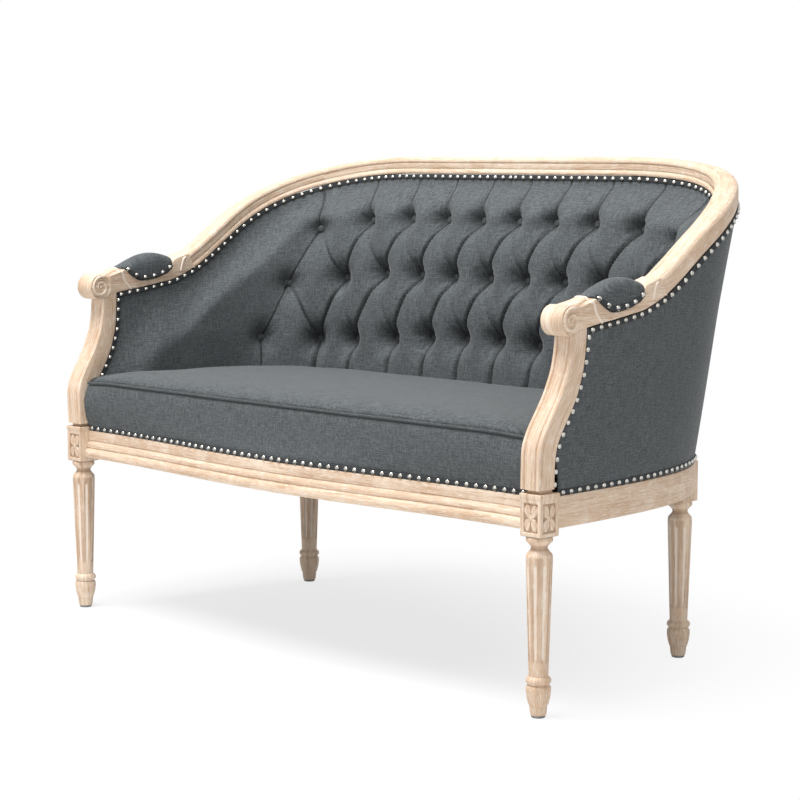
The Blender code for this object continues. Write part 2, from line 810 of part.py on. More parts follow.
def tub_point(u, z, rise=0.0):
    """A point on the tub: u runs from the centre of the back, rise is into the seat."""
    back, wall, radius = tub_reading(z)
    flat = wall - radius
    a = abs(u)
    if a < flat:
        x, y, nx, ny = a, back, 0.0, -1.0
    elif a < flat + radius * pi / 2:
        angle = (a - flat) / radius
        x, y = flat + radius * sin(angle), back - radius * (1 - cos(angle))
        nx, ny = -sin(angle), -cos(angle)
    else:
        x, y, nx, ny = wall, back - radius - (a - flat - radius * pi / 2), -1.0, 0.0
    sign = 1 if u >= 0 else -1
    return Vector((sign * (x + nx * rise), y + ny * rise, z))


def rail_underside(s):
    """Height of the top rail's lower edge at a distance along it."""
    low = s
    for _ in range(4):
        slope = rail_slope(low)
        low = s - HALF_H * slope / sqrt(1 + slope * slope)
    return rail_height(low) - HALF_H / sqrt(1 + rail_slope(low) ** 2)


def wing_top(y):
    """Height of the arm's or rise's lower edge above a point at depth y."""
    end = rail_edge(ARM_END, 0, HALF_H)[1:]
    if y < end[0]:
        return table(ARM_UNDERSIDE + (end,), y) - LIP_CLEARANCE
    return rail_underside(y - ARM_FRONT_Y) - LIP_CLEARANCE


def lip_point(s):
    """The upholstery's top edge, just under the top rail's inner edge."""
    x, y = rail_plan(s, LIP_SETBACK - HALF_W)
    return Vector((x, y, wing_top(y) if s < STRAIGHT else rail_underside(s) - LIP_CLEARANCE))


def rail_line(u):
    """Distance along the top rail beside a point of the tub."""
    a, inner = abs(u), CORNER_RADIUS - HALF_W
    if a <= CREST_HALF:
        return PATH_END - a
    if a <= CREST_HALF + inner * pi / 2:
        return ARC_END - (a - CREST_HALF) * CORNER_RADIUS / inner
    return STRAIGHT - (a - CREST_HALF - inner * pi / 2)


def drawn_to_rail(point, s):
    """Draw a point of the tub out to the top rail's inner edge as it nears the rail."""
    lip = lip_point(s)
    share = ease(1 - (lip.z - point.z) / LIP_REACH)
    x = lip.x if point.x >= 0 else -lip.x
    return Vector((mix(point.x, x, share), mix(point.y, lip.y, share), point.z))


# Tuft columns by lattice key, the last button of each row, and how far each row sags
TUFT_COLUMNS = ((0, 0.0), (1, 0.0935), (2, 0.187), (2.5, 0.2395), (3, 0.286), (3.5, 0.354),
                (4, 0.397), (4.5, 0.448))
TUFT_END_U = (0.575, 0.527, 0.476)
TUFT_SAG = (
    ((0.05, 0.0), (0.144, 0.004), (0.242, 0.012), (0.356, 0.0185), (0.448, 0.022), (0.575, 0.0195)),
    ((0.29, 0.0), (0.397, 0.0125), (0.527, 0.0255)),
    ((0.24, 0.0), (0.352, 0.0055), (0.476, 0.0245)),
)


def between_rows(values, q):
    """A value between the three rows of buttons, held above and below them."""
    low, middle, high = values
    q = min(max(q, 0), 2)
    return mix(low, middle, q) if q < 1 else mix(middle, high, q - 1)


def row_height(q, u):
    """Height of a row of the lattice at a distance along the tub."""
    return between_rows(TUFT_ROW_Z, q) - between_rows([table(sag, abs(u)) for sag in TUFT_SAG], q)


def end_key(q):
    """Key of the last button column, which leans out towards the seat."""
    return TUFT_END_KEY + (2 - min(max(q, 0), 2)) / 2


def key_to_u(k, q):
    """Distance along the tub of a lattice key: the last pitch is the wider one."""
    inner = end_key(q) - 1
    a = abs(k)
    u = table(TUFT_COLUMNS, a)
    if a > inner:
        u = mix(table(TUFT_COLUMNS, inner), between_rows(TUFT_END_U, q), a - inner)
    return u if k >= 0 else -u


def button_keys(row):
    """Lattice keys of the buttons in one row."""
    last = end_key(row)
    return [-last + i for i in range(int(2 * last) + 1)]


def puff(k, q, u, z, top):
    """Height of the stuffing over the tub: diamonds between buttons, then straight pleats."""
    diag_a, diag_b = k - q / 2 - 0.5, k + q / 2 - 0.5
    level = sqrt(abs(sin(pi * diag_a) * sin(pi * diag_b)))
    if q > 2 or q < 0:
        level = abs(sin(pi * (k - 0.5)))
    height = CREASE_LEVEL + (1 - CREASE_LEVEL) * level
    for row in (0, 1, 2):
        for key in (round(k - row / 2 - 0.5) + row / 2 + 0.5,):
            if abs(key) <= end_key(row) + 0.01:
                button_u = key_to_u(key, row)
                reach = hypot(u - button_u, z - row_height(row, button_u)) / DIMPLE_WIDTH
                height *= 1 - exp(-reach * reach)
    edge_top = ease((top - z) / 0.05)
    edge_bottom = 0.35 + 0.65 * ease((z - PAD_BOTTOM) / 0.05)
    return PUFF_HEIGHT * height * edge_top * edge_bottom


LATTICE = 6
BELOW_ROWS = (0.0, 0.45)
ABOVE_ROWS = (0.4, 0.75, 1.0)


def back_pad_rows():
    """Row readings from the bottom of the pad to the crest."""
    rows = [(-1.0, fraction) for fraction in BELOW_ROWS]
    rows += [(i / 3, None) for i in range(LATTICE + 1)]
    rows += [(2.0, fraction) for fraction in ABOVE_ROWS]
    return rows


def back_pad_reading(m, row):
    """Place along the tub, height and stuffing for column m; the last column is a plain strip."""
    q, fraction = row
    limit = end_key(max(q, 0))
    last = round(limit * LATTICE)
    if abs(m) > last:
        u, z, rise = back_pad_reading(last if m > 0 else -last, row)
        u += END_STRIP if m > 0 else -END_STRIP
        top = lip_point(rail_line(u)).z
        if fraction == 1 and q > 0:
            z = top
        return u, z, END_STRIP_RISE * ease((top - z) / 0.05)
    k = m / LATTICE
    if fraction is None:
        u = key_to_u(k, q)
        z = row_height(q, u)
        return u, z, puff(k, q, u, z, CREST_Z)
    if q < 0:
        u = key_to_u(k, 0) * mix(0.99, 1.0, fraction)
        z = mix(PAD_BOTTOM, row_height(0, u), fraction)
        return u, z, puff(k, -1, u, z, CREST_Z)
    low = row_height(2, key_to_u(k, 2))
    u = key_to_u(k, 2) * (1 + TUFT_FAN * fraction)
    top = lip_point(rail_line(u)).z
    z = mix(low, top, fraction)
    return u, z, puff(k, 3, u, z, top)


def back_pad_point(m, row, lining=False):
    """A point of the pad for column m of a row, on its front surface or its lining."""
    u, z, rise = back_pad_reading(m, row)
    return drawn_to_rail(tub_point(u, z, -PAD_BACKING if lining else rise), rail_line(u))


def make_back_pad():
    """The deep-buttoned back: diamonds in front, a plain lining behind."""
    bm = bmesh.new()
    rows = back_pad_rows()
    grid = []
    for row in rows:
        q = max(row[0], 0)
        last = round(end_key(q) * LATTICE) + 1
        verts = {}
        for m in range(-last, last + 1):
            verts[m] = bm.verts.new(back_pad_point(m, row))
        grid.append(verts)
    for j, (low, high) in enumerate(zip(grid, grid[1:])):
        q_low = round(rows[j][0] * 3) if rows[j][1] is None else None
        bridge(bm, low, high, q_low)
    low, half = len(BELOW_ROWS), LATTICE // 2
    close_pad(bm, grid, (0, low, low + half, low + 2 * half, len(grid) - 2, len(grid) - 1), rows)
    add_buttons(bm, grid)
    add_object("back_pad", bm, FABRIC, smooth_angle=50)


def bridge(bm, low, high, crease=None):
    """Faces between two rows keyed by column; the longer row fans in at its ends."""
    def held(row, m):
        return row[min(max(m, min(row)), max(row))]

    for m in range(min(low), max(low)):
        a, b, c, d = low[m], low[m + 1], held(high, m + 1), held(high, m)
        if c is d:
            bm.faces.new((a, b, c))
            continue
        rising = m >= 0
        if crease is not None:
            if (m - crease) % LATTICE == LATTICE // 2:
                rising = True
            elif (m + 1 + crease) % LATTICE == LATTICE // 2:
                rising = False
        if rising:
            bm.faces.new((a, b, c))
            bm.faces.new((a, c, d))
        else:
            bm.faces.new((a, b, d))
            bm.faces.new((b, c, d))


def stitch(bm, low, high):
    """Triangles between two rows keyed by column that may have different columns."""
    a, b = sorted(low), sorted(high)
    i = j = 0
    while i < len(a) - 1 or j < len(b) - 1:
        if j == len(b) - 1 or (i < len(a) - 1 and a[i + 1] <= b[j + 1]):
            bm.faces.new((low[a[i]], high[b[j]], low[a[i + 1]]))
            i += 1
        else:
            bm.faces.new((low[a[i]], high[b[j]], high[b[j + 1]]))
            j += 1


def close_pad(bm, grid, levels, rows):
    """Back a front surface with a plainer lining that meets its top and bottom edges."""
    lining = []
    for level in levels:
        front = grid[level]
        if level in (levels[0], levels[-1]):
            lining.append(front)
            continue
        verts = {}
        for m in front:
            if m % (LATTICE // 2) == 0 or m in (min(front), max(front)):
                verts[m] = bm.verts.new(back_pad_point(m, rows[level], lining=True))
        lining.append(verts)
    for low, high in zip(lining, lining[1:]):
        stitch(bm, low, high)
    for end in (min, max):
        border = [verts[end(verts)] for verts in grid]
        behind = [verts[end(verts)] for verts in lining]
        for i, (first, last) in enumerate(zip(levels, levels[1:])):
            corner = behind[i + 1] if i == 0 else behind[i]
            for j in range(first, last):
                if border[j] is not corner and border[j + 1] is not corner:
                    bm.faces.new((border[j], border[j + 1], corner))
            if i > 0 and behind[i + 1] is not border[last]:
                bm.faces.new((behind[i], border[last], behind[i + 1]))


# Inside arm pads

def wing_rear(z):
    """Distance along the tub of the pleat between the wing and the tufted back."""
    corners = [(row_height(row, TUFT_END_U[row]), TUFT_END_U[row]) for row in (0, 1, 2)]
    top_u = TUFT_END_U[2] * (1 + TUFT_FAN)
    corners.append((lip_point(rail_line(top_u)).z, top_u))
    corners.insert(0, (PAD_BOTTOM, TUFT_END_U[0] * 0.99))
    return table(corners, z)


def wing_front(z):
    """Distance along the tub of the post's rear edge at a height."""
    front, depth, _ = post_reading(min(z, POST_HEAD))
    back, wall, radius = tub_reading(z)
    return wall - radius + radius * pi / 2 + (back - radius) - (front + depth + 0.002)


def wing_levels(top_z):
    """Heights of the wing's rows: the pleat's corners, carried across in proportion."""
    knee = row_height(0, TUFT_END_U[0])
    head = row_height(2, TUFT_END_U[2])
    rear_top = lip_point(rail_line(TUFT_END_U[2] * (1 + TUFT_FAN) + END_STRIP)).z
    share = (head - knee) / (rear_top - knee)
    low = [mix(WING_BOTTOM, knee, i / 5) for i in range(5)]
    steps = (0, share / 3, share * 2 / 3, share, (1 + share) / 2, 1)
    return low + [mix(knee, top_z, step) for step in steps]


def make_wing(name, sign):
    """The smooth inside of an arm, between the tufted back and the arm post."""
    bm = bmesh.new()
    columns = 14
    rear = rail_line(TUFT_END_U[2] * (1 + TUFT_FAN) + END_STRIP + 0.0022)
    front, depth, _ = post_reading(POST_HEAD)
    fore = front + depth + 0.002 - ARM_FRONT_Y
    grid, lining = [], []
    for i in range(columns + 1):
        t = i / columns
        s = mix(rear, fore, t)
        top_z = lip_point(s).z - WING_EASE * min(6 * t, 1.0)
        levels = wing_levels(top_z)
        front_column, back_column = [], []
        for j, z in enumerate(levels):
            u = mix(wing_rear(z) + END_STRIP + 0.0022, wing_front(z), t)
            along = mix(rail_line(wing_rear(z) + END_STRIP + 0.0022), s, min(6 * t, 1.0))
            rise = WING_CROWN * wing_swell(t, (z - WING_BOTTOM) / (top_z - WING_BOTTOM))
            point = drawn_to_rail(tub_point(u, z, rise), along)
            point.x = mix(point.x, wing_edge_x(z), ease((t - 0.75) / 0.25))
            front_column.append(bm.verts.new((point.x * sign, point.y, point.z)))
            if 0 < j < len(levels) - 1:
                back = drawn_to_rail(tub_point(u, z, -PAD_BACKING * (1 - ease((t - 0.8) / 0.2)) - 0.002), along)
                back.x = max(back.x, point.x + 0.003) if t > 0.5 else back.x
                back_column.append(bm.verts.new((back.x * sign, back.y, back.z)))
        grid.append(front_column)
        lining.append([front_column[0], *back_column, front_column[-1]])
    rows = len(grid[0]) - 1
    for side_grid, flip in ((grid, 1), (lining, -1)):
        for a, b in zip(side_grid, side_grid[1:]):
            for j in range(rows):
                bm.faces.new((a[j], b[j], b[j + 1], a[j + 1])[::flip])
    for i in (0, -1):
        border, behind = grid[i], lining[i]
        for j in range(rows):
            corners = [border[j], border[j + 1], behind[j + 1], behind[j]]
            bm.faces.new([v for k, v in enumerate(corners) if v not in corners[:k]])
    add_object(name, bm, FABRIC, smooth_angle=70)


def wing_swell(t, v):
    """Crown of the wing: full in the middle, drawn in at its edges."""
    return (ease(t / 0.35) * 0.8 + 0.2 * ease(t / 0.1)) * ease((1 - t) / 0.3) * ease((1 - v) / 0.22) * (
        0.5 + 0.5 * ease(v / 0.2))


def wing_edge_x(z):
    """Inner side of the arm post, where the wing's front edge is nailed."""
    return FRONT_LEG_X + post_reading(min(z, POST_HEAD))[2] - POST_WIDTH / 2 + 0.004


# Tuft buttons

def add_buttons(bm, grid):
    """Open the pad's surface round each tuft and set a covered button in it."""
    for row in range(len(TUFT_ROW_Z)):
        level = grid[len(BELOW_ROWS) + row * LATTICE // 2]
        for key in button_keys(row):
            u = key_to_u(key, row)
            z = row_height(row, u)
            seat = drawn_to_rail(tub_point(u, z), rail_line(u))
            slope = (tub_point(u, z + 0.03) - tub_point(u, z - 0.03)).normalized()
            inward = tub_point(u, z, 0.01) - tub_point(u, z)
            inward = (inward - slope * inward.dot(slope)).normalized()
            across = slope.cross(inward)
            old = level.pop(round(key * LATTICE))
            border = []
            for edge in old.link_edges:
                vert = edge.other_vert(old)
                away = vert.co - seat
                border.append((atan2(away.dot(slope), away.dot(across)), vert))
            bm.verts.remove(old)
            rings = []
            for height in (BUTTON_SEAT, BUTTON_RIM):
                ring = []
                for i in range(BUTTON_SIDES):
                    angle = 2 * pi * i / BUTTON_SIDES - pi
                    turn = (across * cos(angle) + slope * sin(angle)) * BUTTON_RADIUS
                    ring.append((angle, bm.verts.new(seat + inward * height + turn)))
                rings.append(ring)
            collar(bm, sorted(border, key=lambda item: item[0]), rings[0])
            collar(bm, rings[0], rings[1])
            crown = bm.verts.new(seat + inward * BUTTON_CROWN)
            for i in range(BUTTON_SIDES):
                bm.faces.new((rings[1][i - 1][1], rings[1][i][1], crown))


def collar(bm, outer, inner):
    """Triangles between two closed rings, each a list of (angle, vertex) in order."""
    i = j = 0
    while i < len(outer) or j < len(inner):
        a, b = outer[i % len(outer)][1], inner[j % len(inner)][1]
        next_a = outer[(i + 1) % len(outer)][0] + 2 * pi * ((i + 1) // len(outer))
        next_b = inner[(j + 1) % len(inner)][0] + 2 * pi * ((j + 1) // len(inner))
        if j == len(inner) or (i < len(outer) and next_a <= next_b):
            bm.faces.new((a, outer[(i + 1) % len(outer)][1], b))
            i += 1
        else:
            bm.faces.new((a, inner[(j + 1) % len(inner)][1], b))
            j += 1


# Seat

def seat_front(x, share):
    """The seat's front in plan: nailed along the rail's bow, flatter at the welt."""
    straighter = FRONT_LEG_Y - SEAT_FORWARD - SEAT_BOW * (front_edge(x) - FRONT_RAIL_END_Y) / -FRONT_BOW
    return mix(front_edge(x), straighter, share)


def seat_outline(share):
    """The seat pad in plan: bowed front, then round the inside of the tub."""
    end = FRONT_LEG_X + POST_STATIONS[0][3] - POST_WIDTH / 2 - SEAT_POST_CLEARANCE
    front = [(mix(-end, end, i / 20), seat_front(mix(-end, end, i / 20), share)) for i in range(21)]
    z = SEAT_EDGE_Z
    back, wall, radius = tub_reading(z)
    flat = wall - radius
    reach = flat + radius * pi / 2 + (back - radius) - (FRONT_LEG_Y + 0.075)
    right = []
    for i in range(20):
        u = mix(reach, 0.06, i / 19)
        tuck = mix(SEAT_BACK_TUCK, SEAT_SIDE_TUCK, ease((u - flat - 0.24) / 0.07))
        point = tub_point(u, z, tuck)
        right.append((point.x, point.y))
    post_rear = FRONT_LEG_Y + 0.045
    right = [(end, FRONT_LEG_Y + 0.012), (mix(end, right[0][0], 0.35), post_rear)] + right
    left = [(-x, y) for x, y in reversed(right)]
    return front + right + left


def make_seat_pad():
    """The tight seat: boxed and drawn in at the welt, crowned on top."""
    bm = bmesh.new()
    boxing = SEAT_EDGE_Z - PAD_BOTTOM
    crown = SEAT_CROWN_Z - SEAT_EDGE_Z
    levels = (
        # share of the plan kept, inset, height, how far from the rail's bow to the welt's
        (1.0, 0.0055, PAD_BOTTOM, 0.0),
        (1.0, 0.0030, PAD_BOTTOM + 0.06 * boxing, 0.2),
        (1.0, 0.0008, PAD_BOTTOM + 0.30 * boxing, 0.75),
        (1.0, 0.0000, PAD_BOTTOM + 0.62 * boxing, 1.0),
        (1.0, 0.0020, SEAT_EDGE_Z - 0.0070, 1.0),
        (1.0, 0.0062, SEAT_EDGE_Z - 0.0022, 1.0),
        (1.0, 0.0062, SEAT_EDGE_Z + 0.0052, 1.0),
        (0.975, 0.0070, SEAT_EDGE_Z + 0.36 * crown, 1.0),
        (0.93, 0.0035, SEAT_EDGE_Z + 0.52 * crown, 1.0),
        (0.80, 0.0035, SEAT_EDGE_Z + 0.82 * crown, 1.0),
        (0.55, 0.0035, SEAT_EDGE_Z + 0.97 * crown, 1.0),
        (0.25, 0.0035, SEAT_CROWN_Z, 1.0),
    )
    centre = (0.0, -0.02)
    rings = []
    for kept, inset, z, share in levels:
        ring = []
        for x, y in shrink(seat_outline(share), inset):
            ring.append((centre[0] + (x - centre[0]) * kept, centre[1] + (y - centre[1]) * kept, z))
        rings.append(ring)
    add_loft(bm, rings)
    add_object("seat_pad", bm, FABRIC, smooth_angle=60)


def make_seat_welt():
    """The piped seam along the front top edge of the seat."""
    bm = bmesh.new()
    end = FRONT_LEG_X + POST_STATIONS[0][3] - POST_WIDTH / 2 - 2 * SEAT_POST_CLEARANCE
    stations = 33
    rings = []
    for i in range(stations):
        x = mix(-end, end, i / (stations - 1))
        y = seat_front(x, 1) + WELT_SETBACK
        ring = []
        for j in range(8):
            angle = 2 * pi * j / 8 + pi / 8
            ring.append((x, y + WELT_RADIUS * cos(angle), SEAT_EDGE_Z + 0.0015 + WELT_RADIUS * sin(angle)))
        rings.append(ring)
    add_loft(bm, rings)
    add_object("seat_welt", bm, WELT_FABRIC)


# Arm pads

def make_arm_pad(name, sign):
    """The padded arm cap: saddles over the arm, domed on top and pointed at both ends."""
    bm = bmesh.new()
    saddle = on_arm(SADDLE_SHAPE)[::-1]
    first, last = saddle[0][0] + 0.0040, saddle[-1][0] - 0.0052
    rings = []
    for i in range(13):
        t = i / 12
        y = mix(first, last, t)
        floor = table(saddle, y) + 0.0012
        dome = max(sin(pi * mix(0.0, 1.0, t ** 1.15)), 0.0) ** 0.75
        top = mix(mix(ARM_Z + 0.0215, ARM_Z + 0.0360, t), ARM_Z + ARM_PAD_RISE, dome)
        half = HALF_W + ARM_PAD_SPREAD
        swell = 0.0025 * dome
        mid = mix(floor, top, 0.45)
        section = (
            (-half, floor), (-half - swell, mid), (-half * 0.80, mix(floor, top, 0.84)),
            (-half * 0.40, mix(floor, top, 0.97)), (0, top), (half * 0.40, mix(floor, top, 0.97)),
            (half * 0.80, mix(floor, top, 0.84)), (half + swell, mid), (half, floor),
        )
        rings.append([(TOP_RAIL_X + x, y, z) for x, z in section])
    add_loft(bm, [side(ring, sign) for ring in rings])
    add_object(name, bm, FABRIC, smooth_angle=60)


# Outside covers

def cover_bottom(w):
    """Bottom edge of the side cover in plan, w from the arm post to the back corner."""
    return side_rail_plan(mix(0.02, 1.0, w), COVER_INSET)


def cover_top(w):
    """Top edge of the side cover under the arm and the rise."""
    front, depth, _ = post_reading(POST_HEAD)
    s = mix(front + depth + 0.002 - ARM_FRONT_Y, COVER_CORNER, w)
    x, y = rail_plan(s, HALF_W - COVER_INSET)
    return x, y, (wing_top(y) if s < STRAIGHT else rail_underside(s) - LIP_CLEARANCE) - 0.001


def cover_point(w, v):
    """A point on the side cover's outer face, its front edge following the post."""
    low = Vector((*cover_bottom(w), RAIL_TOP + 2 * GAP))
    point = low.lerp(Vector(cover_top(w)), v)
    point.x += 0.004 * sin(pi * min(v * 1.6, 1.0)) * (1 - v)
    straight = mix(cover_bottom(0)[1], cover_top(0)[1], v)
    front, depth, _ = post_reading(point.z)
    away = front + depth + 0.0015 - straight
    point.y += away * (1 - w) ** 3 * min(4 * v, 1.0)
    return point


def cover_normal(w, v):
    """Outward direction of the side cover in plan; mitred where it meets the back."""
    ahead, behind = cover_point(min(w + 0.02, 1), v), cover_point(max(w - 0.02, 0), v)
    tangent = ahead - behind
    normal = Vector((tangent.y, -tangent.x, 0)).normalized()
    if w == 1:
        normal = (normal + Vector((0, 1, 0))).normalized()
    return normal


def make_side_cover(name, sign):
    """The outside of an arm: taut fabric from the post round to the back."""
    bm = bmesh.new()
    columns, rows = 16, 8
    outer, inner = [], []
    for i in range(columns + 1):
        w = i / columns + 0.08 * sin(2 * pi * i / columns)
        column_out, column_in = [], []
        for j in range(rows + 1):
            point = cover_point(w, j / rows)
            back = point - cover_normal(w, j / rows) * COVER_THICKNESS
            column_out.append(bm.verts.new((point.x * sign, point.y, point.z)))
            column_in.append(bm.verts.new((back.x * sign, back.y, back.z)))
        outer.append(column_out)
        inner.append(column_in)
    close_shell(bm, outer, inner)
    add_object(name, bm, FABRIC, smooth_angle=60)


def close_shell(bm, outer, inner):
    """Join two equal grids of vertices into one closed sheet."""
    for grid, flip in ((outer, 1), (inner, -1)):
        for a, b in zip(grid, grid[1:]):
            for j in range(len(a) - 1):
                bm.faces.new((a[j], b[j], b[j + 1], a[j + 1])[::flip])
    for a, b in ((outer[0], inner[0]), (inner[-1], outer[-1])):
        for j in range(len(a) - 1):
            bm.faces.new((a[j], a[j + 1], b[j + 1], b[j]))
    for j in (0, -1):
        for i in range(len(outer) - 1):
            quad = (outer[i][j], outer[i + 1][j], inner[i + 1][j], inner[i][j])
            bm.faces.new(quad)


def make_back_cover():
    """The outside back: a taut panel from the back rail up to the crest."""
    bm = bmesh.new()
    columns, rows = 20, 4
    outer, inner = [], []
    for i in range(columns + 1):
        a = mix(-1, 1, i / columns)
        sign = 1 if a >= 0 else -1
        s = mix(PATH_END, COVER_CORNER, abs(a))
        x, y = rail_plan(s, HALF_W - COVER_INSET)
        high = Vector((x * sign, y, rail_underside(s) - LIP_CLEARANCE))
        end = cover_bottom(1.0)
        y = mix(BACK_RAIL_Y - COVER_INSET, end[1], ease((abs(a) - 0.9) / 0.1))
        low = Vector((a * end[0], y, RAIL_TOP + 2 * GAP))
        column_out, column_in = [], []
        for j in range(rows + 1):
            v = j / rows
            point = low.lerp(high, v)
            normal = Vector((0, 1, 0))
            if abs(a) == 1:
                normal = cover_normal(1, v)
                normal.x *= sign
                point = cover_point(1, v)
                point.x *= sign
                point += Vector((-normal.y * sign, normal.x * sign, 0)) * 0.0012
            column_out.append(bm.verts.new(point))
            column_in.append(bm.verts.new(point - normal * COVER_THICKNESS))
        outer.append(column_out)
        inner.append(column_in)
    close_shell(bm, outer, inner)
    add_object("outside_back_cover", bm, FABRIC, smooth_angle=60)


# Hidden structure

def make_back_post(name, sign):
    """The raked upright from the back leg to the crest, inside the upholstery."""
    bm = bmesh.new()
    half_x, half_y = BACK_POST_WIDTH / 2, BACK_POST_DEPTH / 2
    foot = Vector((BACK_LEG_X - 0.012, BACK_LEG_Y - 0.003, RAIL_TOP + GAP))
    s = 0.655
    x, y = rail_plan(s)
    head = Vector((x, y - 0.002, rail_underside(s) - 0.004))
    rings = []
    for centre in (foot, head):
        rings.append([(centre.x + dx, centre.y + dy, centre.z) for dx, dy in
                      ((-half_x, -half_y), (half_x, -half_y), (half_x, half_y), (-half_x, half_y))])
    add_loft(bm, [side(ring, sign) for ring in rings])
    add_object(name, bm, BEECH)


def make_webbing():
    """Woven straps tacked over the rails, one set front to back and one side to side."""
    low = RAIL_TOP + GAP
    bm = bmesh.new()
    back = BACK_RAIL_Y - RAIL_THICKNESS + STRAP_BEARING
    for i in range(STRAPS_ACROSS):
        x = mix(-STRAP_END_X, STRAP_END_X, i / (STRAPS_ACROSS - 1))
        front = front_edge(x) + RAIL_THICKNESS - STRAP_BEARING
        add_box(bm, (x - STRAP_WIDTH / 2, front, low), (x + STRAP_WIDTH / 2, back, low + STRAP_THICKNESS))
    webbing = add_object("seat_webbing", bm, JUTE)
    low += STRAP_THICKNESS * 0.4
    bm = bmesh.new()
    for i in range(STRAPS_ALONG):
        y = mix(FRONT_LEG_Y + STRAP_FRONT, BACK_LEG_Y - STRAP_BACK, i / (STRAPS_ALONG - 1))
        t = (y - FRONT_LEG_Y) / (SIDE_RAIL_END_Y - FRONT_LEG_Y)
        x = side_rail_plan(t, RAIL_THICKNESS - STRAP_BEARING)[0] - 0.006
        add_box(bm, (-x, y - STRAP_WIDTH / 2, low), (x, y + STRAP_WIDTH / 2, low + STRAP_THICKNESS))
    boolean(webbing, bm, "UNION")


def make_seat_brace():
    """The centre brace between the front and back rails."""
    bm = bmesh.new()
    front = front_edge(0) + RAIL_THICKNESS + GAP
    back = BACK_RAIL_Y - RAIL_THICKNESS - GAP
    low = RAIL_BOTTOM + 0.006
    half = BRACE_WIDTH / 2
    add_box(bm, (-half, front, low), (half, back, low + BRACE_HEIGHT))
    add_object("seat_brace", bm, BEECH)


def make_corner_block(name, sign, x, y, inward):
    """A triangular glue block in the angle of two rails."""
    bm = bmesh.new()
    leg = CORNER_BLOCK_LEG
    outline = [(x, y), (x - leg, y), (x, y + leg * inward)]
    add_prism(bm, side(outline, sign), RAIL_BOTTOM + 0.008, RAIL_TOP - 0.008)
    add_object(name, bm, BEECH)


def make_dust_cover():
    """The dark lining stapled under the rails, cut round the leg blocks."""
    bm = bmesh.new()
    inset = DUST_COVER_INSET
    notch = BLOCK_HALF + 0.001
    right = []
    for i in range(13):
        x = mix(0, FRONT_LEG_X - notch, i / 12)
        right.append((x, front_edge(x) + inset))
    right.append((FRONT_LEG_X - notch, FRONT_LEG_Y + notch))
    for i in range(9):
        right.append(side_rail_plan(mix(0.03, 0.80, i / 8), inset))
    right.append((BACK_LEG_X + notch, BACK_LEG_Y - notch))
    right.append((BACK_LEG_X - notch, BACK_LEG_Y - notch))
    right.append((BACK_LEG_X - notch, BACK_RAIL_Y - inset))
    left = [(-x, y) for x, y in reversed(right[1:])]
    top = RAIL_BOTTOM - GAP
    add_prism(bm, right + left, top - 0.0012, top)
    add_object("dust_cover", bm, LINING)


# Build

for word, sign in SIDES:
    make_front_leg("front_leg_" + word, sign)
    make_back_leg("back_leg_" + word, sign)
    make_glide("front_glide_" + word, sign * FRONT_LEG_X, FRONT_LEG_Y)
    make_glide("back_glide_" + word, sign * BACK_LEG_X, BACK_LEG_Y)
    make_side_rail("side_rail_" + word, sign)
    make_arm_post("arm_post_" + word, sign)
    make_arm("arm_" + word, sign)
    make_side_top_rail("side_top_rail_" + word, sign)
    make_wing("inside_arm_pad_" + word, sign)
    make_arm_pad("arm_pad_" + word, sign)
    make_side_cover("outside_arm_cover_" + word, sign)
    make_back_post("back_post_" + word, sign)
    make_corner_block("front_corner_block_" + word, sign, FRONT_LEG_X - BLOCK_HALF - GAP,
                      front_edge(FRONT_LEG_X) + RAIL_THICKNESS + GAP, 1)
    make_corner_block("back_corner_block_" + word, sign, BACK_LEG_X - BLOCK_HALF - GAP,
                      BACK_RAIL_Y - RAIL_THICKNESS - GAP, -1)

make_front_rail()
make_back_rail()
make_crest_rail()
make_back_pad()
make_seat_pad()
make_seat_welt()
make_back_cover()
make_webbing()
make_seat_brace()
make_dust_cover()

# Centre the footprint: the front rail's foot is the foremost edge, the crest the rearmost
front_most = FRONT_RAIL_END_Y - FRONT_BOW + min(forward for forward, _ in FRONT_RAIL_PROFILE)
rear_most = CREST_Y + HALF_W
settee.location = (0, -(front_most + rear_most) / 2, 0)
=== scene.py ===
# %% [markdown]
# The tufted loveseat, dressed for the camera.
#
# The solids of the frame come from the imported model. This lesson gives each of
# them the surface that the eye expects: turned and carved limed oak, a
# deep-buttoned charcoal linen back, a tight boxed seat, and rows of bright
# nail heads on a dark braid.

# %% Load the frame
from bisect import bisect
from functools import lru_cache
from math import atan2, ceil, cos, exp, floor, hypot, pi, radians, sin, sqrt
from random import Random

import bmesh
import bpy
from mathutils import Matrix, Vector, noise


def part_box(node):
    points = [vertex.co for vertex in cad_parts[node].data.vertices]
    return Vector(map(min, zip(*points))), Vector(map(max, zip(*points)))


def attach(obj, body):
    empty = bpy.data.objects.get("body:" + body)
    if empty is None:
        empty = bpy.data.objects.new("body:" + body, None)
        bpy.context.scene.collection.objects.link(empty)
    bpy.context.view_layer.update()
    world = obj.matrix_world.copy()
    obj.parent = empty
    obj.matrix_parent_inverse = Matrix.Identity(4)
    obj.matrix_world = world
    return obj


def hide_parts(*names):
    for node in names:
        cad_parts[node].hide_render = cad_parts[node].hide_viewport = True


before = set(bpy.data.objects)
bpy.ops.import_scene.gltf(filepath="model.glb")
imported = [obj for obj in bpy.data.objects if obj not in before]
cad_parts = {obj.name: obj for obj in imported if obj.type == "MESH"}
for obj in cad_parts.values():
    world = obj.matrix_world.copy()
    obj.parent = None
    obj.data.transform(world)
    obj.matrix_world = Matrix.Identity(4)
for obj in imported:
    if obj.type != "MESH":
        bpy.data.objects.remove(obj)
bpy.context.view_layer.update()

# %% [markdown]
# The camera stands to the right of the settee and a little above the arms, with
# a long lens, so that the four legs stay nearly upright. Its place was worked out
# from the picture's vanishing lines and the heights of the legs.

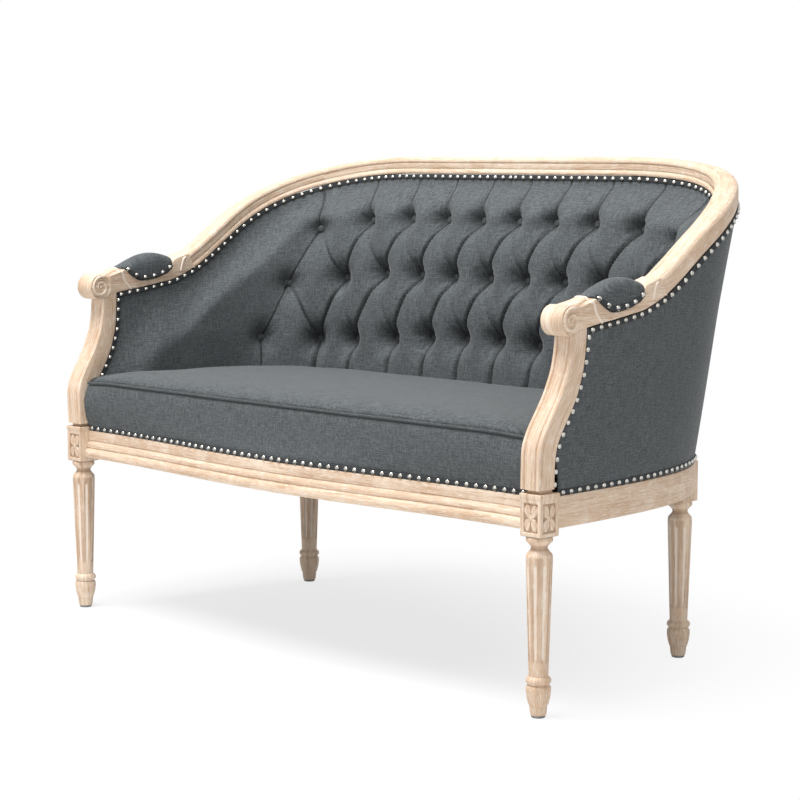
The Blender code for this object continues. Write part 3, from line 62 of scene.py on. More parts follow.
# %% Camera
camera_data = bpy.data.cameras.new("camera")
SENSOR_WIDTH, FOCAL_PIXELS, PICTURE_PIXELS = 36.0, 2216.57, 800.0
CAMERA_DOWN, CAMERA_ROUND = 6.39, 45.79
camera_data.sensor_width = SENSOR_WIDTH
camera_data.lens = FOCAL_PIXELS * SENSOR_WIDTH / PICTURE_PIXELS
camera = bpy.data.objects.new("camera", camera_data)
camera.location = (2.9152, -2.84545, 0.8917)
camera.rotation_euler = (radians(90 - CAMERA_DOWN), 0.0, radians(CAMERA_ROUND))
bpy.context.scene.collection.objects.link(camera)
bpy.context.scene.camera = camera

# %% [markdown]
# Small readings that many pieces share. A table is a list of pairs that is read
# between its rows, and a Bezier curve has four control points.

# %% Readings


def mix(a, b, t):
    return a + (b - a) * t


def ease(t):
    t = min(max(t, 0.0), 1.0)
    return t * t * (3 - 2 * t)


def table(pairs, x):
    """Straight-line reading between (x, value) pairs, held at both ends."""
    if x <= pairs[0][0]:
        return pairs[0][1]
    for (x0, v0), (x1, v1) in zip(pairs, pairs[1:]):
        if x <= x1:
            return mix(v0, v1, (x - x0) / (x1 - x0))
    return pairs[-1][1]


def smooth_table(pairs, x):
    """Reading between (x, value) pairs on a curve through all of them."""
    x = min(max(x, pairs[0][0]), pairs[-1][0])
    for i in range(len(pairs) - 1):
        if x <= pairs[i + 1][0]:
            break
    (x1, v1), (x2, v2) = pairs[i], pairs[i + 1]
    x0, v0 = pairs[max(i - 1, 0)]
    x3, v3 = pairs[min(i + 2, len(pairs) - 1)]
    slope1 = (v2 - v0) / (x2 - x0)
    slope2 = (v3 - v1) / (x3 - x1)
    t, span = (x - x1) / (x2 - x1), x2 - x1
    h1, h2 = 2 * t ** 3 - 3 * t ** 2 + 1, -2 * t ** 3 + 3 * t ** 2
    return h1 * v1 + h2 * v2 + span * ((t ** 3 - 2 * t ** 2 + t) * slope1 + (t ** 3 - t ** 2) * slope2)


def bezier(points, t):
    weights = ((1 - t) ** 3, 3 * t * (1 - t) ** 2, 3 * t * t * (1 - t), t ** 3)
    return tuple(sum(w * p[i] for w, p in zip(weights, points)) for i in range(len(points[0])))


def bump(distance, width):
    """A smooth hill: 1 at the middle, nearly 0 at twice its width."""
    return exp(-(distance / width) ** 2)


def waver(*where):
    """Smooth noise between about -1 and 1, the same on every run."""
    return noise.noise(Vector(where))


def columns_at(rows, x, reading):
    """Read every column after the first of a table of rows."""
    return [reading([(row[0], row[column]) for row in rows], x) for column in range(1, len(rows[0]))]


# %% [markdown]
# The settee is laid out from its four leg axes, which are read from the frame.
# The top rail is one line that runs along the arm, round the corner and along
# the crest, so that a distance along it places everything nailed below it.

# %% Layout
low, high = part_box("front_leg_right")
FRONT_LEG_X, FRONT_LEG_Y = (low.x + high.x) / 2, (low.y + high.y) / 2
low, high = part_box("back_glide_right")
BACK_LEG_X, BACK_LEG_Y = (low.x + high.x) / 2, (low.y + high.y) / 2
BLOCK_HALF = 0.0215
FRONT_BLOCK_BOTTOM, FRONT_BLOCK_TOP, BACK_BLOCK_BOTTOM = 0.2915, 0.3600, 0.281
CLOTH_BELOW = 0.0015
RAIL_BOTTOM, RAIL_TOP, RAIL_THICKNESS = 0.300, 0.352, 0.023
FRONT_RAIL_END_Y, FRONT_BOW = FRONT_LEG_Y - 0.002, 0.033
BACK_RAIL_Y = BACK_LEG_Y + BLOCK_HALF
TOP_RAIL_X, HALF_W, HALF_H = 0.610, 0.021, 0.017
ARM_FRONT_Y, ARM_Z = FRONT_LEG_Y - 0.004, 0.648
CREST_Y, CREST_Z, CORNER_RADIUS = BACK_LEG_Y + 0.1115, 0.865, 0.2275
STRAIGHT = CREST_Y - CORNER_RADIUS - ARM_FRONT_Y
ARC_END = STRAIGHT + CORNER_RADIUS * pi / 2
CREST_HALF = TOP_RAIL_X - CORNER_RADIUS
PATH_END = ARC_END + CREST_HALF
ARM_END, CREST_JOINT, COVER_CORNER = 0.270, 0.600, 0.620
RISE_START, RISE_END = 0.200, 0.850
RISE_CURVE = ((RISE_START, ARM_Z), (0.360, 0.680), (0.395, CREST_Z), (RISE_END, CREST_Z))
SIDE_RAIL_CURVE = ((0.613, FRONT_LEG_Y + BLOCK_HALF), (0.610, FRONT_LEG_Y + 0.2165),
                   (0.605, BACK_LEG_Y - 0.106), (0.515, BACK_LEG_Y + 0.008))
POST_FOOT, POST_HEAD, POST_WIDTH = 0.366, ARM_Z - 0.036, 0.041


def front_edge(x):
    """The bowed front of the seat rail in plan."""
    wave = cos(pi / 2 * min(abs(x) / (FRONT_LEG_X - BLOCK_HALF - 0.03), 1.0)) ** 2
    return FRONT_RAIL_END_Y - FRONT_BOW * wave


def side_rail_plan(t, inset=0.0):
    """The side rail's outer face in plan, moved inwards by an inset."""
    x0, y0 = bezier(SIDE_RAIL_CURVE, max(t - 0.01, 0.0))
    x1, y1 = bezier(SIDE_RAIL_CURVE, min(t + 0.01, 1.0))
    x, y = bezier(SIDE_RAIL_CURVE, t)
    length = hypot(x1 - x0, y1 - y0)
    return x - inset * (y1 - y0) / length, y + inset * (x1 - x0) / length


def rail_plan(s, offset=0.0):
    """The top rail in plan, at a distance along it and an offset outwards."""
    if s < STRAIGHT:
        return TOP_RAIL_X + offset, ARM_FRONT_Y + s
    if s < ARC_END:
        angle = (s - STRAIGHT) / CORNER_RADIUS
        radius = CORNER_RADIUS + offset
        return CREST_HALF + radius * cos(angle), CREST_Y - CORNER_RADIUS + radius * sin(angle)
    return CREST_HALF - (s - ARC_END), CREST_Y + offset


RISE_LINE = [bezier(RISE_CURVE, i / 400) for i in range(401)]
RISE_REACH = [reach for reach, _ in RISE_LINE]


def rail_height(s):
    if s >= RISE_END:
        return CREST_Z
    if s <= RISE_START:
        return ARM_Z - 0.2 * (RISE_START - s)
    i = bisect(RISE_REACH, s)
    (s0, z0), (s1, z1) = RISE_LINE[i - 1], RISE_LINE[i]
    return mix(z0, z1, (s - s0) / (s1 - s0))


def rail_slope(s):
    return (rail_height(s + 0.004) - rail_height(s - 0.004)) / 0.008


def rail_edge(s, offset, drop):
    """A point on the rail's section: offset outwards, drop below its centre line."""
    slope = rail_slope(s)
    stretch = sqrt(1 + slope * slope)
    x, y = rail_plan(s + drop * slope / stretch, offset)
    return x, y, rail_height(s) - drop / stretch


@lru_cache(maxsize=None)
def rail_underside(s):
    low = s
    for _ in range(4):
        slope = rail_slope(low)
        low = s - HALF_H * slope / sqrt(1 + slope * slope)
    return rail_height(low) - HALF_H / sqrt(1 + rail_slope(low) ** 2)


def on_arm(shape):
    """Place (behind the leg's axis, above the centre line) pairs as (y, z)."""
    return [(FRONT_LEG_Y + behind, ARM_Z + up) for behind, up in shape]


ARM_UNDERSIDE = on_arm(((0.045, -0.0418), (0.051, -0.0390), (0.0565, -0.0344), (0.080, -0.0310),
                        (0.109, -0.0265), (0.146, -0.0218), (0.184, -0.0158), (0.222, -0.0090)))
SADDLE = on_arm(((0.2198, 0.0290), (0.2175, 0.0240), (0.2150, 0.0170), (0.2041, 0.0045),
                 (0.1793, -0.0044), (0.1580, -0.0082), (0.1363, -0.0092), (0.1190, -0.0010),
                 (0.1056, 0.0082), (0.0960, 0.0136), (0.0850, 0.0158)))
ARM_UNDERSIDE_END = rail_edge(ARM_END, 0, HALF_H)[1:]


def wing_top(y):
    """Height of the arm's or rise's lower edge above a point at depth y."""
    if y < ARM_UNDERSIDE_END[0]:
        return table(ARM_UNDERSIDE + [ARM_UNDERSIDE_END], y) - CLOTH_BELOW
    return rail_underside(y - ARM_FRONT_Y) - CLOTH_BELOW


def cloth_top(s, y):
    """Height where cloth ends under the top rail, at a distance along it and a depth."""
    return wing_top(y) if s < STRAIGHT else rail_underside(s) - CLOTH_BELOW


@lru_cache(maxsize=None)
def lip_point(s, setback=0.002):
    """The upholstery's top edge, just under the top rail's inner edge."""
    x, y = rail_plan(s, setback - HALF_W)
    return Vector((x, y, cloth_top(s, y)))


def rail_line(u):
    """Distance along the top rail beside a point of the tub."""
    a, inner = abs(u), CORNER_RADIUS - HALF_W
    if a <= CREST_HALF:
        return PATH_END - a
    if a <= CREST_HALF + inner * pi / 2:
        return ARC_END - (a - CREST_HALF) * CORNER_RADIUS / inner
    return STRAIGHT - (a - CREST_HALF - inner * pi / 2)


# %% [markdown]
# Shader maths reads best as plain expressions, so one small class wraps a socket
# and lets Python's own operators add the Math nodes. A Bench holds any node tree,
# and a Shop is the bench of one material.

# %% Shader maths


class Wire:
    """A socket with arithmetic: each operation adds one Math node."""

    def __init__(self, shop, socket):
        self.shop, self.socket = shop, socket

    def math(self, operation, other):
        return self.shop.node("ShaderNodeMath", [self, other], operation=operation)

    def __add__(self, other):
        return self.math("ADD", other)

    __radd__ = __add__

    def __mul__(self, other):
        return self.math("MULTIPLY", other)

    __rmul__ = __mul__

    def __sub__(self, other):
        return self.math("SUBTRACT", other)

    def between(self, low, high):
        """0 below low, 1 above high, smooth between."""
        return self.shop.node("ShaderNodeMapRange", [self, low, high, 0.0, 1.0],
                              interpolation_type="SMOOTHSTEP", clamp=True)


class Bench:
    """A node tree, and the one way to add any node to it."""

    def __init__(self, owner):
        owner.use_nodes = True
        self.tree = owner.node_tree

    def node(self, kind, values=(), output=0, **settings):
        made = self.tree.nodes.new(kind)
        for name, value in settings.items():
            setattr(made, name, value)
        pairs = values.items() if isinstance(values, dict) else enumerate(values)
        for key, value in pairs:
            if isinstance(value, Wire):
                self.tree.links.new(value.socket, made.inputs[key])
            else:
                made.inputs[key].default_value = value
        return Wire(self, made.outputs[output]) if made.outputs else None

    def seen(self):
        """1 for what the camera sees, straight, in a gloss or through glass."""
        straight, gloss, through = (self.node("ShaderNodeLightPath", output=kind) for kind in (
            "Is Camera Ray", "Is Glossy Ray", "Is Transmission Ray"))
        return straight.math("MAXIMUM", gloss).math("MAXIMUM", through)


class Shop(Bench):
    """One material and its nodes."""

    def __init__(self, name, **sockets):
        self.material = bpy.data.materials.new(name)
        super().__init__(self.material)
        self.shader = self.tree.nodes["Principled BSDF"]
        for socket, value in sockets.items():
            self.shader.inputs[socket.replace("_", " ")].default_value = value

    def feed(self, socket, wire):
        self.tree.links.new(wire.socket, self.shader.inputs[socket])

    def cloud(self, source, waves, detail=4.0, rough=0.5, wander=0.0):
        """Noise in UV or Object coordinates, with its waves per metre along each axis."""
        where = self.node("ShaderNodeMapping", {
            "Vector": self.node("ShaderNodeTexCoord", output=source), "Scale": waves})
        return self.node("ShaderNodeTexNoise", {
            "Vector": where, "Scale": 1.0, "Detail": detail, "Roughness": rough, "Distortion": wander})

    def blend(self, amount, a, b):
        """Mix two colours, each a wire or three numbers."""
        a, b = (value if isinstance(value, Wire) else (*value, 1.0) for value in (a, b))
        return self.node("ShaderNodeMix", {0: amount, 6: a, 7: b}, output=2, data_type="RGBA")

    def relief(self, height, distance, strength):
        return self.node("ShaderNodeBump", {"Height": height, "Distance": distance, "Strength": strength})


# %% [markdown]
# Limed oak is pale because white wax sits in its open pores. Three things tell it
# apart: long straight streaks along the grain, short dark pore dashes, and a
# chalky film that is thicker in patches. The pattern follows each piece's own UV
# map, which is measured in metres with the first axis along the grain.

# %% Limed oak


def limed_oak(name, source="UV"):
    shop = Shop(name, Roughness=0.5)

    def grain(length, width, detail, rough, wander=0.0):
        """Noise drawn out along the grain: both sizes in waves per metre."""
        return shop.cloud(source, (length, width, width), detail, rough, wander)

    board = grain(3.0, 26.0, 3.0, 0.55, 0.8)
    figure = grain(9.0, 150.0, 4.0, 0.6, 0.5)
    streak = grain(14.0, 420.0, 4.0, 0.7, 0.2)
    pores = grain(45.0, 900.0, 3.0, 0.6)
    film = shop.cloud(source, (22.0, 22.0, 22.0), 4.0, 0.65, 0.6)
    wood = shop.blend(board.between(0.34, 0.66), (0.60, 0.425, 0.290), (0.75, 0.585, 0.435))
    wood = shop.blend(figure.between(0.48, 0.72) * 0.75, wood, (0.43, 0.255, 0.145))
    wood = shop.blend(streak.between(0.50, 0.66) * 0.62, wood, (0.45, 0.275, 0.165))
    lime = film.between(0.42, 0.66) * 0.42 + figure.between(0.28, 0.50) * -0.15
    wood = shop.blend(lime.math("MAXIMUM", 0.0), wood, (0.83, 0.725, 0.615))
    chalk = pores.between(0.54, 0.63)
    wood = shop.blend(chalk * 0.62, wood, (0.92, 0.86, 0.78))
    # Positive values whiten the wood with wax. Negative values darken it: a darker tone on the flute
    # lands, and painted shade in the coves and the carving.
    wax_and_shade = shop.node("ShaderNodeAttribute", output=2, attribute_name="wax_and_shade")
    wood = shop.blend(wax_and_shade.between(0.05, 0.95) * 0.62, wood, (0.90, 0.83, 0.745))
    wood = shop.blend((wax_and_shade * -1.0).between(0.05, 0.95) * 0.55, wood, (0.36, 0.215, 0.125))
    shop.feed("Base Color", wood)
    shop.feed("Roughness", 0.44 + streak * 0.26)
    shop.feed("Normal", shop.relief(streak * -0.7 + chalk * -0.5 + figure * -0.5, 0.0007, 0.6))
    return shop.material


OAK = limed_oak("limed_oak")
OAK_SOLID_X = limed_oak("limed_oak_rail", "Object")

# %% [markdown]
# The linen is woven from uneven charcoal yarn: some threads are thicker and
# paler for a few centimetres and then thin out again, in both directions. Two
# stretched noises make those slubs, and a fine wave each way makes the weave.
# A float attribute paints shade into the colour, darkest along the pleats,
# round the buttons and on them.

# %% Linen


def linen(name, dark=1.0):
    shop = Shop(name, Roughness=0.92, Sheen_Weight=0.20, Sheen_Roughness=0.28)
    warp = shop.cloud("UV", (1000.0, 110.0, 1.0), 3.0, 0.7)
    weft = shop.cloud("UV", (110.0, 1000.0, 1.0), 3.0, 0.7)
    warp_slub = shop.cloud("UV", (520.0, 34.0, 1.0), 2.0, 0.6)
    weft_slub = shop.cloud("UV", (34.0, 520.0, 1.0), 2.0, 0.6)
    speckle = shop.cloud("UV", (620.0, 620.0, 1.0), 3.0, 0.7)
    fuzz = shop.cloud("UV", (9.0, 9.0, 1.0), 2.0, 0.5)
    light = (warp + weft) * 0.5 + (warp_slub + weft_slub) * 0.32 + speckle * 0.36
    shade = light.between(0.91, 1.11)
    deep, pale, worn = ([part * dark for part in colour] for colour in (
        (0.040, 0.0455, 0.0480), (0.112, 0.1245, 0.1300), (0.069, 0.0775, 0.082)))
    colour = shop.blend(shade, deep, pale)
    colour = shop.blend(fuzz.between(0.3, 0.7) * 0.2, colour, worn)
    # painted shade: pleats, button pits and buttons are darkened towards near-black
    painted_shade = shop.node("ShaderNodeAttribute", output=2, attribute_name="wax_and_shade")
    colour = shop.blend(painted_shade.math("MINIMUM", 0.92), colour, (0.0040, 0.0045, 0.0050))
    shop.feed("Base Color", colour)
    shop.feed("Normal", shop.relief(warp + weft + speckle * 0.8, 0.0006, 0.4))
    return shop.material


LINEN = linen("charcoal_linen")
# The welt's copy of the linen is painted 20% darker, as shade along the seam.
WELT_LINEN = linen("charcoal_linen_welt", 0.8)

# %% [markdown]
# The braid under the nails is a flat, dark, ribbed tape. The nail heads are
# nickel, with a painted dark rim and a painted dark reflection on the lower side.

# %% Braid, nails and the hidden finishes


def braid_cloth():
    shop = Shop("dark_braid", Roughness=0.85)
    rib = shop.cloud("UV", (1400.0, 300.0, 1.0), 2.0, 0.6)
    colour = shop.blend(rib.between(0.35, 0.65), (0.010, 0.0115, 0.0125), (0.038, 0.042, 0.045))
    shop.feed("Base Color", colour)
    shop.feed("Normal", shop.relief(rib, 0.0004, 0.6))
    return shop.material


def nickel():
    shop = Shop("nickel_nails", Metallic=1.0)
    dull = shop.cloud("Object", (260.0, 260.0, 260.0), 3.0, 0.6)
    spot = shop.node("ShaderNodeTexCoord", output="UV")
    across, lower = (shop.node("ShaderNodeSeparateXYZ", [spot], output=axis) for axis in "XY")
    metal = shop.blend(dull.between(0.35, 0.75), (0.46, 0.44, 0.40), (0.74, 0.72, 0.68))
    # painted dark rim round each head
    metal = shop.blend(across.between(0.88, 1.0) * 0.6, metal, (0.16, 0.15, 0.135))
    # painted dark reflection across the lower side of each head
    dark_reflection = lower.between(0.0, 0.38) - lower.between(0.52, 0.80) * 0.8
    shop.feed("Base Color", shop.blend(dark_reflection * 0.92, metal, (0.06, 0.057, 0.052)))
    shop.feed("Roughness", 0.16 + dull * 0.16)
    return shop.material


def plain_wood(name, along):
    shop = Shop(name, Roughness=0.6)
    stretch = [110.0, 110.0, 110.0]
    stretch[along] = 6.0
    grain = shop.cloud("Object", stretch, 4.0, 0.6, 0.5)
    shop.feed("Base Color", shop.blend(grain.between(0.35, 0.65), (0.62, 0.43, 0.25), (0.50, 0.33, 0.18)))
    shop.feed("Normal", shop.relief(grain, 0.0005, 0.3))
    return shop.material


def woven(name, light, deep, scale, rough=0.95):
    shop = Shop(name, Roughness=rough)
    across = shop.cloud("Object", (scale, scale / 12, scale / 12), 2.0, 0.5)
    along = shop.cloud("Object", (scale / 12, scale, scale / 12), 2.0, 0.5)
    thread = (across + along) * 0.5
    shop.feed("Base Color", shop.blend(thread.between(0.4, 0.6), light, deep))
    shop.feed("Normal", shop.relief(thread, 0.0006, 0.5))
    return shop.material


BRAID = braid_cloth()
NICKEL = nickel()
BEECH_X, BEECH_Y, BEECH_Z = (plain_wood("beech_along_" + axis, "xyz".index(axis)) for axis in "xyz")
JUTE = woven("jute_webbing", (0.46, 0.34, 0.19), (0.30, 0.21, 0.11), 700.0)
LINING = woven("black_lining", (0.010, 0.010, 0.011), (0.022, 0.022, 0.024), 900.0)
NYLON = woven("glide_nylon", (0.20, 0.20, 0.20), (0.27, 0.27, 0.27), 300.0, 0.45)

# %% [markdown]
# Most pieces here are one sheet of squares pulled onto a surface. The grid
# operator makes the squares, each corner is then moved to where the surface is,
# and the distances travelled along both directions become a UV map in metres, so
# wood grain and cloth weave keep their real size on every piece.

# %% The mapped grid


def finish(name, bm, material, replaces, angle=40.0, wax_and_shade=None):
    """Make the piece from a finished bmesh and hand it to the frame."""
    # The optional attribute: lime wax, darker tone and painted shade on the oak, painted shade on the
    # linen.
    if wax_and_shade:
        layer = bm.verts.layers.float.new("wax_and_shade")
        for vert in bm.verts:
            vert[layer] = wax_and_shade(vert.co)
    mesh = bpy.data.meshes.new(name)
    bm.to_mesh(mesh)
    bm.free()
    mesh.shade_smooth()
    mesh.set_sharp_from_angle(angle=radians(angle))
    mesh.materials.append(material)
    piece = bpy.data.objects.new(name, mesh)
    bpy.context.scene.collection.objects.link(piece)
    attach(piece, "root")
    if replaces:
        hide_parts(replaces)
    return piece


def pour(part, bm):
    """Add one bmesh to another and be done with it."""
    mesh = bpy.data.meshes.new("part_of_a_piece")
    part.to_mesh(mesh)
    part.free()
    bm.from_mesh(mesh)
    bpy.data.meshes.remove(mesh)


def lay_uv(bm, reading):
    """Map every corner in metres: reading takes its face and its point."""
    layer = bm.loops.layers.uv.new("metres")
    for face in bm.faces:
        for loop in face.loops:
            loop[layer].uv = reading(face, loop.vert.co)


def add_grid(bm, across, along, place, wrap=False, capped=False, uv=None, swap=False):
    """A grid pulled onto a surface: place(a, b) gives a point for a and b from 0 to 1."""
    start = bmesh.new()
    bmesh.ops.create_grid(start, x_segments=across, y_segments=along, size=0.5)
    layer = start.loops.layers.uv.new("metres")
    spots = {}
    for vert in start.verts:
        spots[vert] = (round((vert.co.x + 0.5) * across), round((vert.co.y + 0.5) * along))
    by_spot = {spot: vert for vert, spot in spots.items()}
    for vert, (i, j) in spots.items():
        vert.co = place(i / across, j / along)
    run, rise = {}, {}
    for j in range(along + 1):
        run[0, j] = 0.0
        for i in range(1, across + 1):
            run[i, j] = run[i - 1, j] + (by_spot[i, j].co - by_spot[i - 1, j].co).length
    for i in range(across + 1):
        rise[i, 0] = 0.0
        for j in range(1, along + 1):
            rise[i, j] = rise[i, j - 1] + (by_spot[i, j].co - by_spot[i, j - 1].co).length
    for face in start.faces:
        for loop in face.loops:
            spot = spots[loop.vert]
            reading = run[spot], rise[spot]
            if uv:
                reading = uv(loop.vert.co, spot[0] / across, spot[1] / along)
            loop[layer].uv = (reading[1], reading[0]) if swap else reading
    if wrap:
        bmesh.ops.remove_doubles(start, verts=start.verts, dist=1e-6)
    if capped:
        edges = [edge for edge in start.edges if edge.is_boundary]
        bmesh.ops.holes_fill(start, edges=edges, sides=0)
    if wrap or capped:
        bmesh.ops.recalc_face_normals(start, faces=start.faces)
        if start.calc_volume(signed=True) < 0:
            bmesh.ops.reverse_faces(start, faces=start.faces)
    pour(start, bm)


def rounded(bm, edges, size, segments):
    bmesh.ops.bevel(bm, geom=edges, offset=size, segments=segments, profile=0.5,
                    affect="EDGES", material=-1)


def mirrored(point, sign):
    return Vector((point[0] * sign, point[1], point[2]))


SIDES = (("left", -1), ("right", 1))
NO_PIECE = None

# %% [markdown]
# The legs are turned, then fluted: eight round grooves run down the tapered
# shaft and stop short of the rings. A turning is a profile spun about its axis,
# so the grid wraps round the axis and the flutes are pressed in as it goes.

# %% Turned and fluted legs


def leg_profile(block_bottom):
    """Radius and height pairs from the block down to the glide."""
    b = block_bottom
    return (
        (0.0185, b + 0.002), (0.0212, b - 0.003), (0.0216, b - 0.0055), (0.0212, b - 0.008),
        (0.0180, b - 0.0105), (0.0172, b - 0.0120), (0.0142, b - 0.0150), (0.0130, b - 0.0185),
        (0.0142, b - 0.0215), (0.0165, b - 0.0240), (0.0172, b - 0.0250), (0.0205, b - 0.0285),
        (0.0212, b - 0.0310), (0.0214, b - 0.0340), (0.0213, b - 0.0420), (0.0164, 0.0920),
        (0.0160, 0.0780), (0.0156, 0.0670), (0.0176, 0.0655), (0.0200, 0.0630), (0.0207, 0.0600),
        (0.0200, 0.0570), (0.0180, 0.0548), (0.0166, 0.0536), (0.0176, 0.0524), (0.0196, 0.0505),
        (0.0203, 0.0470), (0.0201, 0.0420), (0.0190, 0.0330), (0.0166, 0.0235), (0.0158, 0.0212),
        (0.0146, 0.0200), (0.0139, 0.0120), (0.0130, 0.0060), (0.0126, 0.0043),
    )


FLUTE_TURN, FLUTE_DEPTH, FLUTE_HALF = pi / 4, 0.0026, 0.21


def leg_piece(word, sign, front):
    block_bottom = FRONT_BLOCK_BOTTOM if front else BACK_BLOCK_BOTTOM
    x0 = sign * (FRONT_LEG_X if front else BACK_LEG_X)
    y0 = FRONT_LEG_Y if front else BACK_LEG_Y
    profile = leg_profile(block_bottom)
    shaft_top, shaft_bottom = block_bottom - 0.040, 0.088
    heights = [z for _, z in profile]
    rows = []
    for high, low in zip(heights, heights[1:]):
        steps = max(1, ceil((high - low) / 0.006))
        rows += [mix(high, low, i / steps) for i in range(steps)]
    rows.append(heights[-1])
    by_height = [(z, r) for r, z in reversed(profile)]

    def place(a, b):
        z = rows[round(b * (len(rows) - 1))]
        angle = 2 * pi * a
        radius = table(by_height, z)
        groove = ease((shaft_top - z) / 0.008) * ease((z - shaft_bottom) / 0.010)
        away = abs((angle / FLUTE_TURN) % 1.0 - 0.5)
        radius -= FLUTE_DEPTH * groove * sqrt(max(1 - (away / FLUTE_HALF) ** 2, 0.0))
        return Vector((x0 + radius * cos(angle), y0 + radius * sin(angle), z))

    bm = bmesh.new()
    add_grid(bm, 128, len(rows) - 1, place, wrap=True, capped=True,
             uv=lambda p, a, b: (p.z + 0.31 * sign, a * 0.12 + (0.4 if front else 0.0)))
    add_block(bm, x0, y0, sign, front)
    name = ("front" if front else "back") + "_leg_" + word

    def leg_wax_and_shade(p):
        """Wax stays white in the flutes, the lands are toned darker, and shade is painted in the narrow
        coves beside the rings and in the carving.
        """
        if p.z >= block_bottom:
            sunk = max(BLOCK_HALF - max(abs(p.x - x0), abs(p.y - y0)), 0.0)
            return -min(sunk / 0.0030, 1.0) if front and sunk > 0.0002 else 0.0
        radius = hypot(p.x - x0, p.y - y0)
        short = table(by_height, p.z) - radius
        streak = waver(atan2(p.y - y0, p.x - x0) * 2.5, p.z * 6, sign + 3.0)
        if 0.09 < p.z < block_bottom - 0.034:
            return mix(min(-0.10, -0.50 - 1.1 * streak), 1.0, ease((short - 0.0009) / 0.0010))
        return -ease((0.0172 - radius) / 0.004) * (1.0 if p.z > 0.2 or 0.05 < p.z < 0.058 else 0.0)

    finish(name + "_carved", bm, OAK, name, 32, leg_wax_and_shade)


def leaf_relief(u, v):
    """Height of the carved rosette on a panel, for u and v from -1 to 1."""
    radius, angle = hypot(u, v), atan2(v, u)
    lobe = abs(sin(2 * angle)) ** 0.55
    reach = 1.12 * lobe + 0.10
    inside = ease((reach - radius) / 0.16)
    rib = bump(abs(abs(u) - abs(v)) / 1.414, 0.10) * ease(radius / 0.3)
    leaf = inside * (0.75 + 0.35 * sin(min(radius / 1.25, 1.0) * pi)) - 0.30 * rib * inside
    boss = ease((0.27 - radius) / 0.10)
    return max(leaf, boss * 1.15)


PANEL_MARGIN, CAP_HEIGHT, CAP_PROUD = 0.0062, 0.0082, 0.0012


def add_block(bm, x0, y0, sign, front):
    """The square block above the turning: a subdivided cube with pressed-in panels."""
    half = BLOCK_HALF
    low, high = (FRONT_BLOCK_BOTTOM, FRONT_BLOCK_TOP) if front else (BACK_BLOCK_BOTTOM, RAIL_TOP)
    cube = bmesh.new()
    bmesh.ops.create_cube(cube, size=2.0)
    cuts = 45 if front else 3
    bmesh.ops.subdivide_edges(cube, edges=cube.edges[:], cuts=cuts, use_grid_fill=True)
    for vert in cube.verts:
        u, v, w = vert.co
        z = mix(low, high, (w + 1) / 2)
        x, y = u * half, v * half
        if front:
            cap = ease((z - (high - CAP_HEIGHT)) / 0.0012)
            grow = CAP_PROUD * cap * ease((high - z + 0.0006) / 0.002)
            grow -= 0.0014 * ease((low + 0.0016 - z) / 0.0016)
            if abs(u) > 0.999:
                x += grow * (1 if u > 0 else -1)
            if abs(v) > 0.999:
                y += grow * (1 if v > 0 else -1)
            middle, reach = (low + high - CAP_HEIGHT) / 2, (high - CAP_HEIGHT - low) / 2 - PANEL_MARGIN
            for face_on, across in ((v < -0.999, u), (u * sign > 0.999, v)):
                if face_on:
                    pu = across * half / (half - PANEL_MARGIN)
                    pv = (z - middle) / reach
                    inside = ease((1.0 - abs(pu)) / 0.09) * ease((1.0 - abs(pv)) / 0.07)
                    depth = inside * (0.0034 - 0.0030 * leaf_relief(pu, pv * 1.02))
                    if across is u:
                        y += depth
                    else:
                        x -= depth * sign
        vert.co = (x0 + x, y0 + y, z)
    lay_uv(cube, lambda face, p: (p.z, p.y if abs(face.normal.x) > 0.5 else p.x))
    bmesh.ops.recalc_face_normals(cube, faces=cube.faces)
    pour(cube, bm)


for word, sign in SIDES:
    leg_piece(word, sign, True)
    leg_piece(word, sign, False)

# %% [markdown]
# The front rail is bowed, and its face is run with a moulding: a flat band under
# the nails, a groove, a hollow band and a heavy bead at the foot. A moulded rail
# is its section swept along the bow, so the grid wraps round the section.

# %% Seat rails
FRONT_SECTION = (
    # forward of the face, below the top
    (0.0000, 0.0004), (-0.0004, 0.0000), (-0.0010, 0.0020), (-0.0013, 0.0060), (-0.0013, 0.0150),
    (-0.0011, 0.0178), (0.0001, 0.0188), (0.0002, 0.0200), (-0.0016, 0.0212), (-0.0034, 0.0228),
    (-0.0050, 0.0262), (-0.0056, 0.0300), (-0.0053, 0.0318), (-0.0041, 0.0330), (-0.0042, 0.0342),
    (-0.0066, 0.0350), (-0.0092, 0.0376), (-0.0108, 0.0420), (-0.0109, 0.0470), (-0.0098, 0.0506),
    (-0.0078, 0.0519), (-0.0060, 0.0520), (RAIL_THICKNESS, 0.0520), (RAIL_THICKNESS, 0.0),
)


def swept(name, sections, material, replaces, angle=35.0):
    """A closed section swept through stations: sections is a list of closed rings."""
    count = len(sections[0])

    def place(a, b):
        ring = sections[round(b * (len(sections) - 1))]
        return Vector(ring[round(a * count) % count])

    bm = bmesh.new()
    add_grid(bm, count, len(sections) - 1, place, wrap=True, capped=True, swap=True)
    finish(name, bm, material, replaces, angle)


end = FRONT_LEG_X - BLOCK_HALF - 0.0003
rings = []
for i in range(97):
    x = mix(-end, end, i / 96)
    wear = 0.0003 * waver(x * 24, 0.3, 0.7)
    rings.append([(x, front_edge(x) + forward + (wear if forward < 0.01 else 0.0), RAIL_TOP - down)
                  for forward, down in FRONT_SECTION])
swept("front_rail_moulded", rings, OAK, "front_rail")

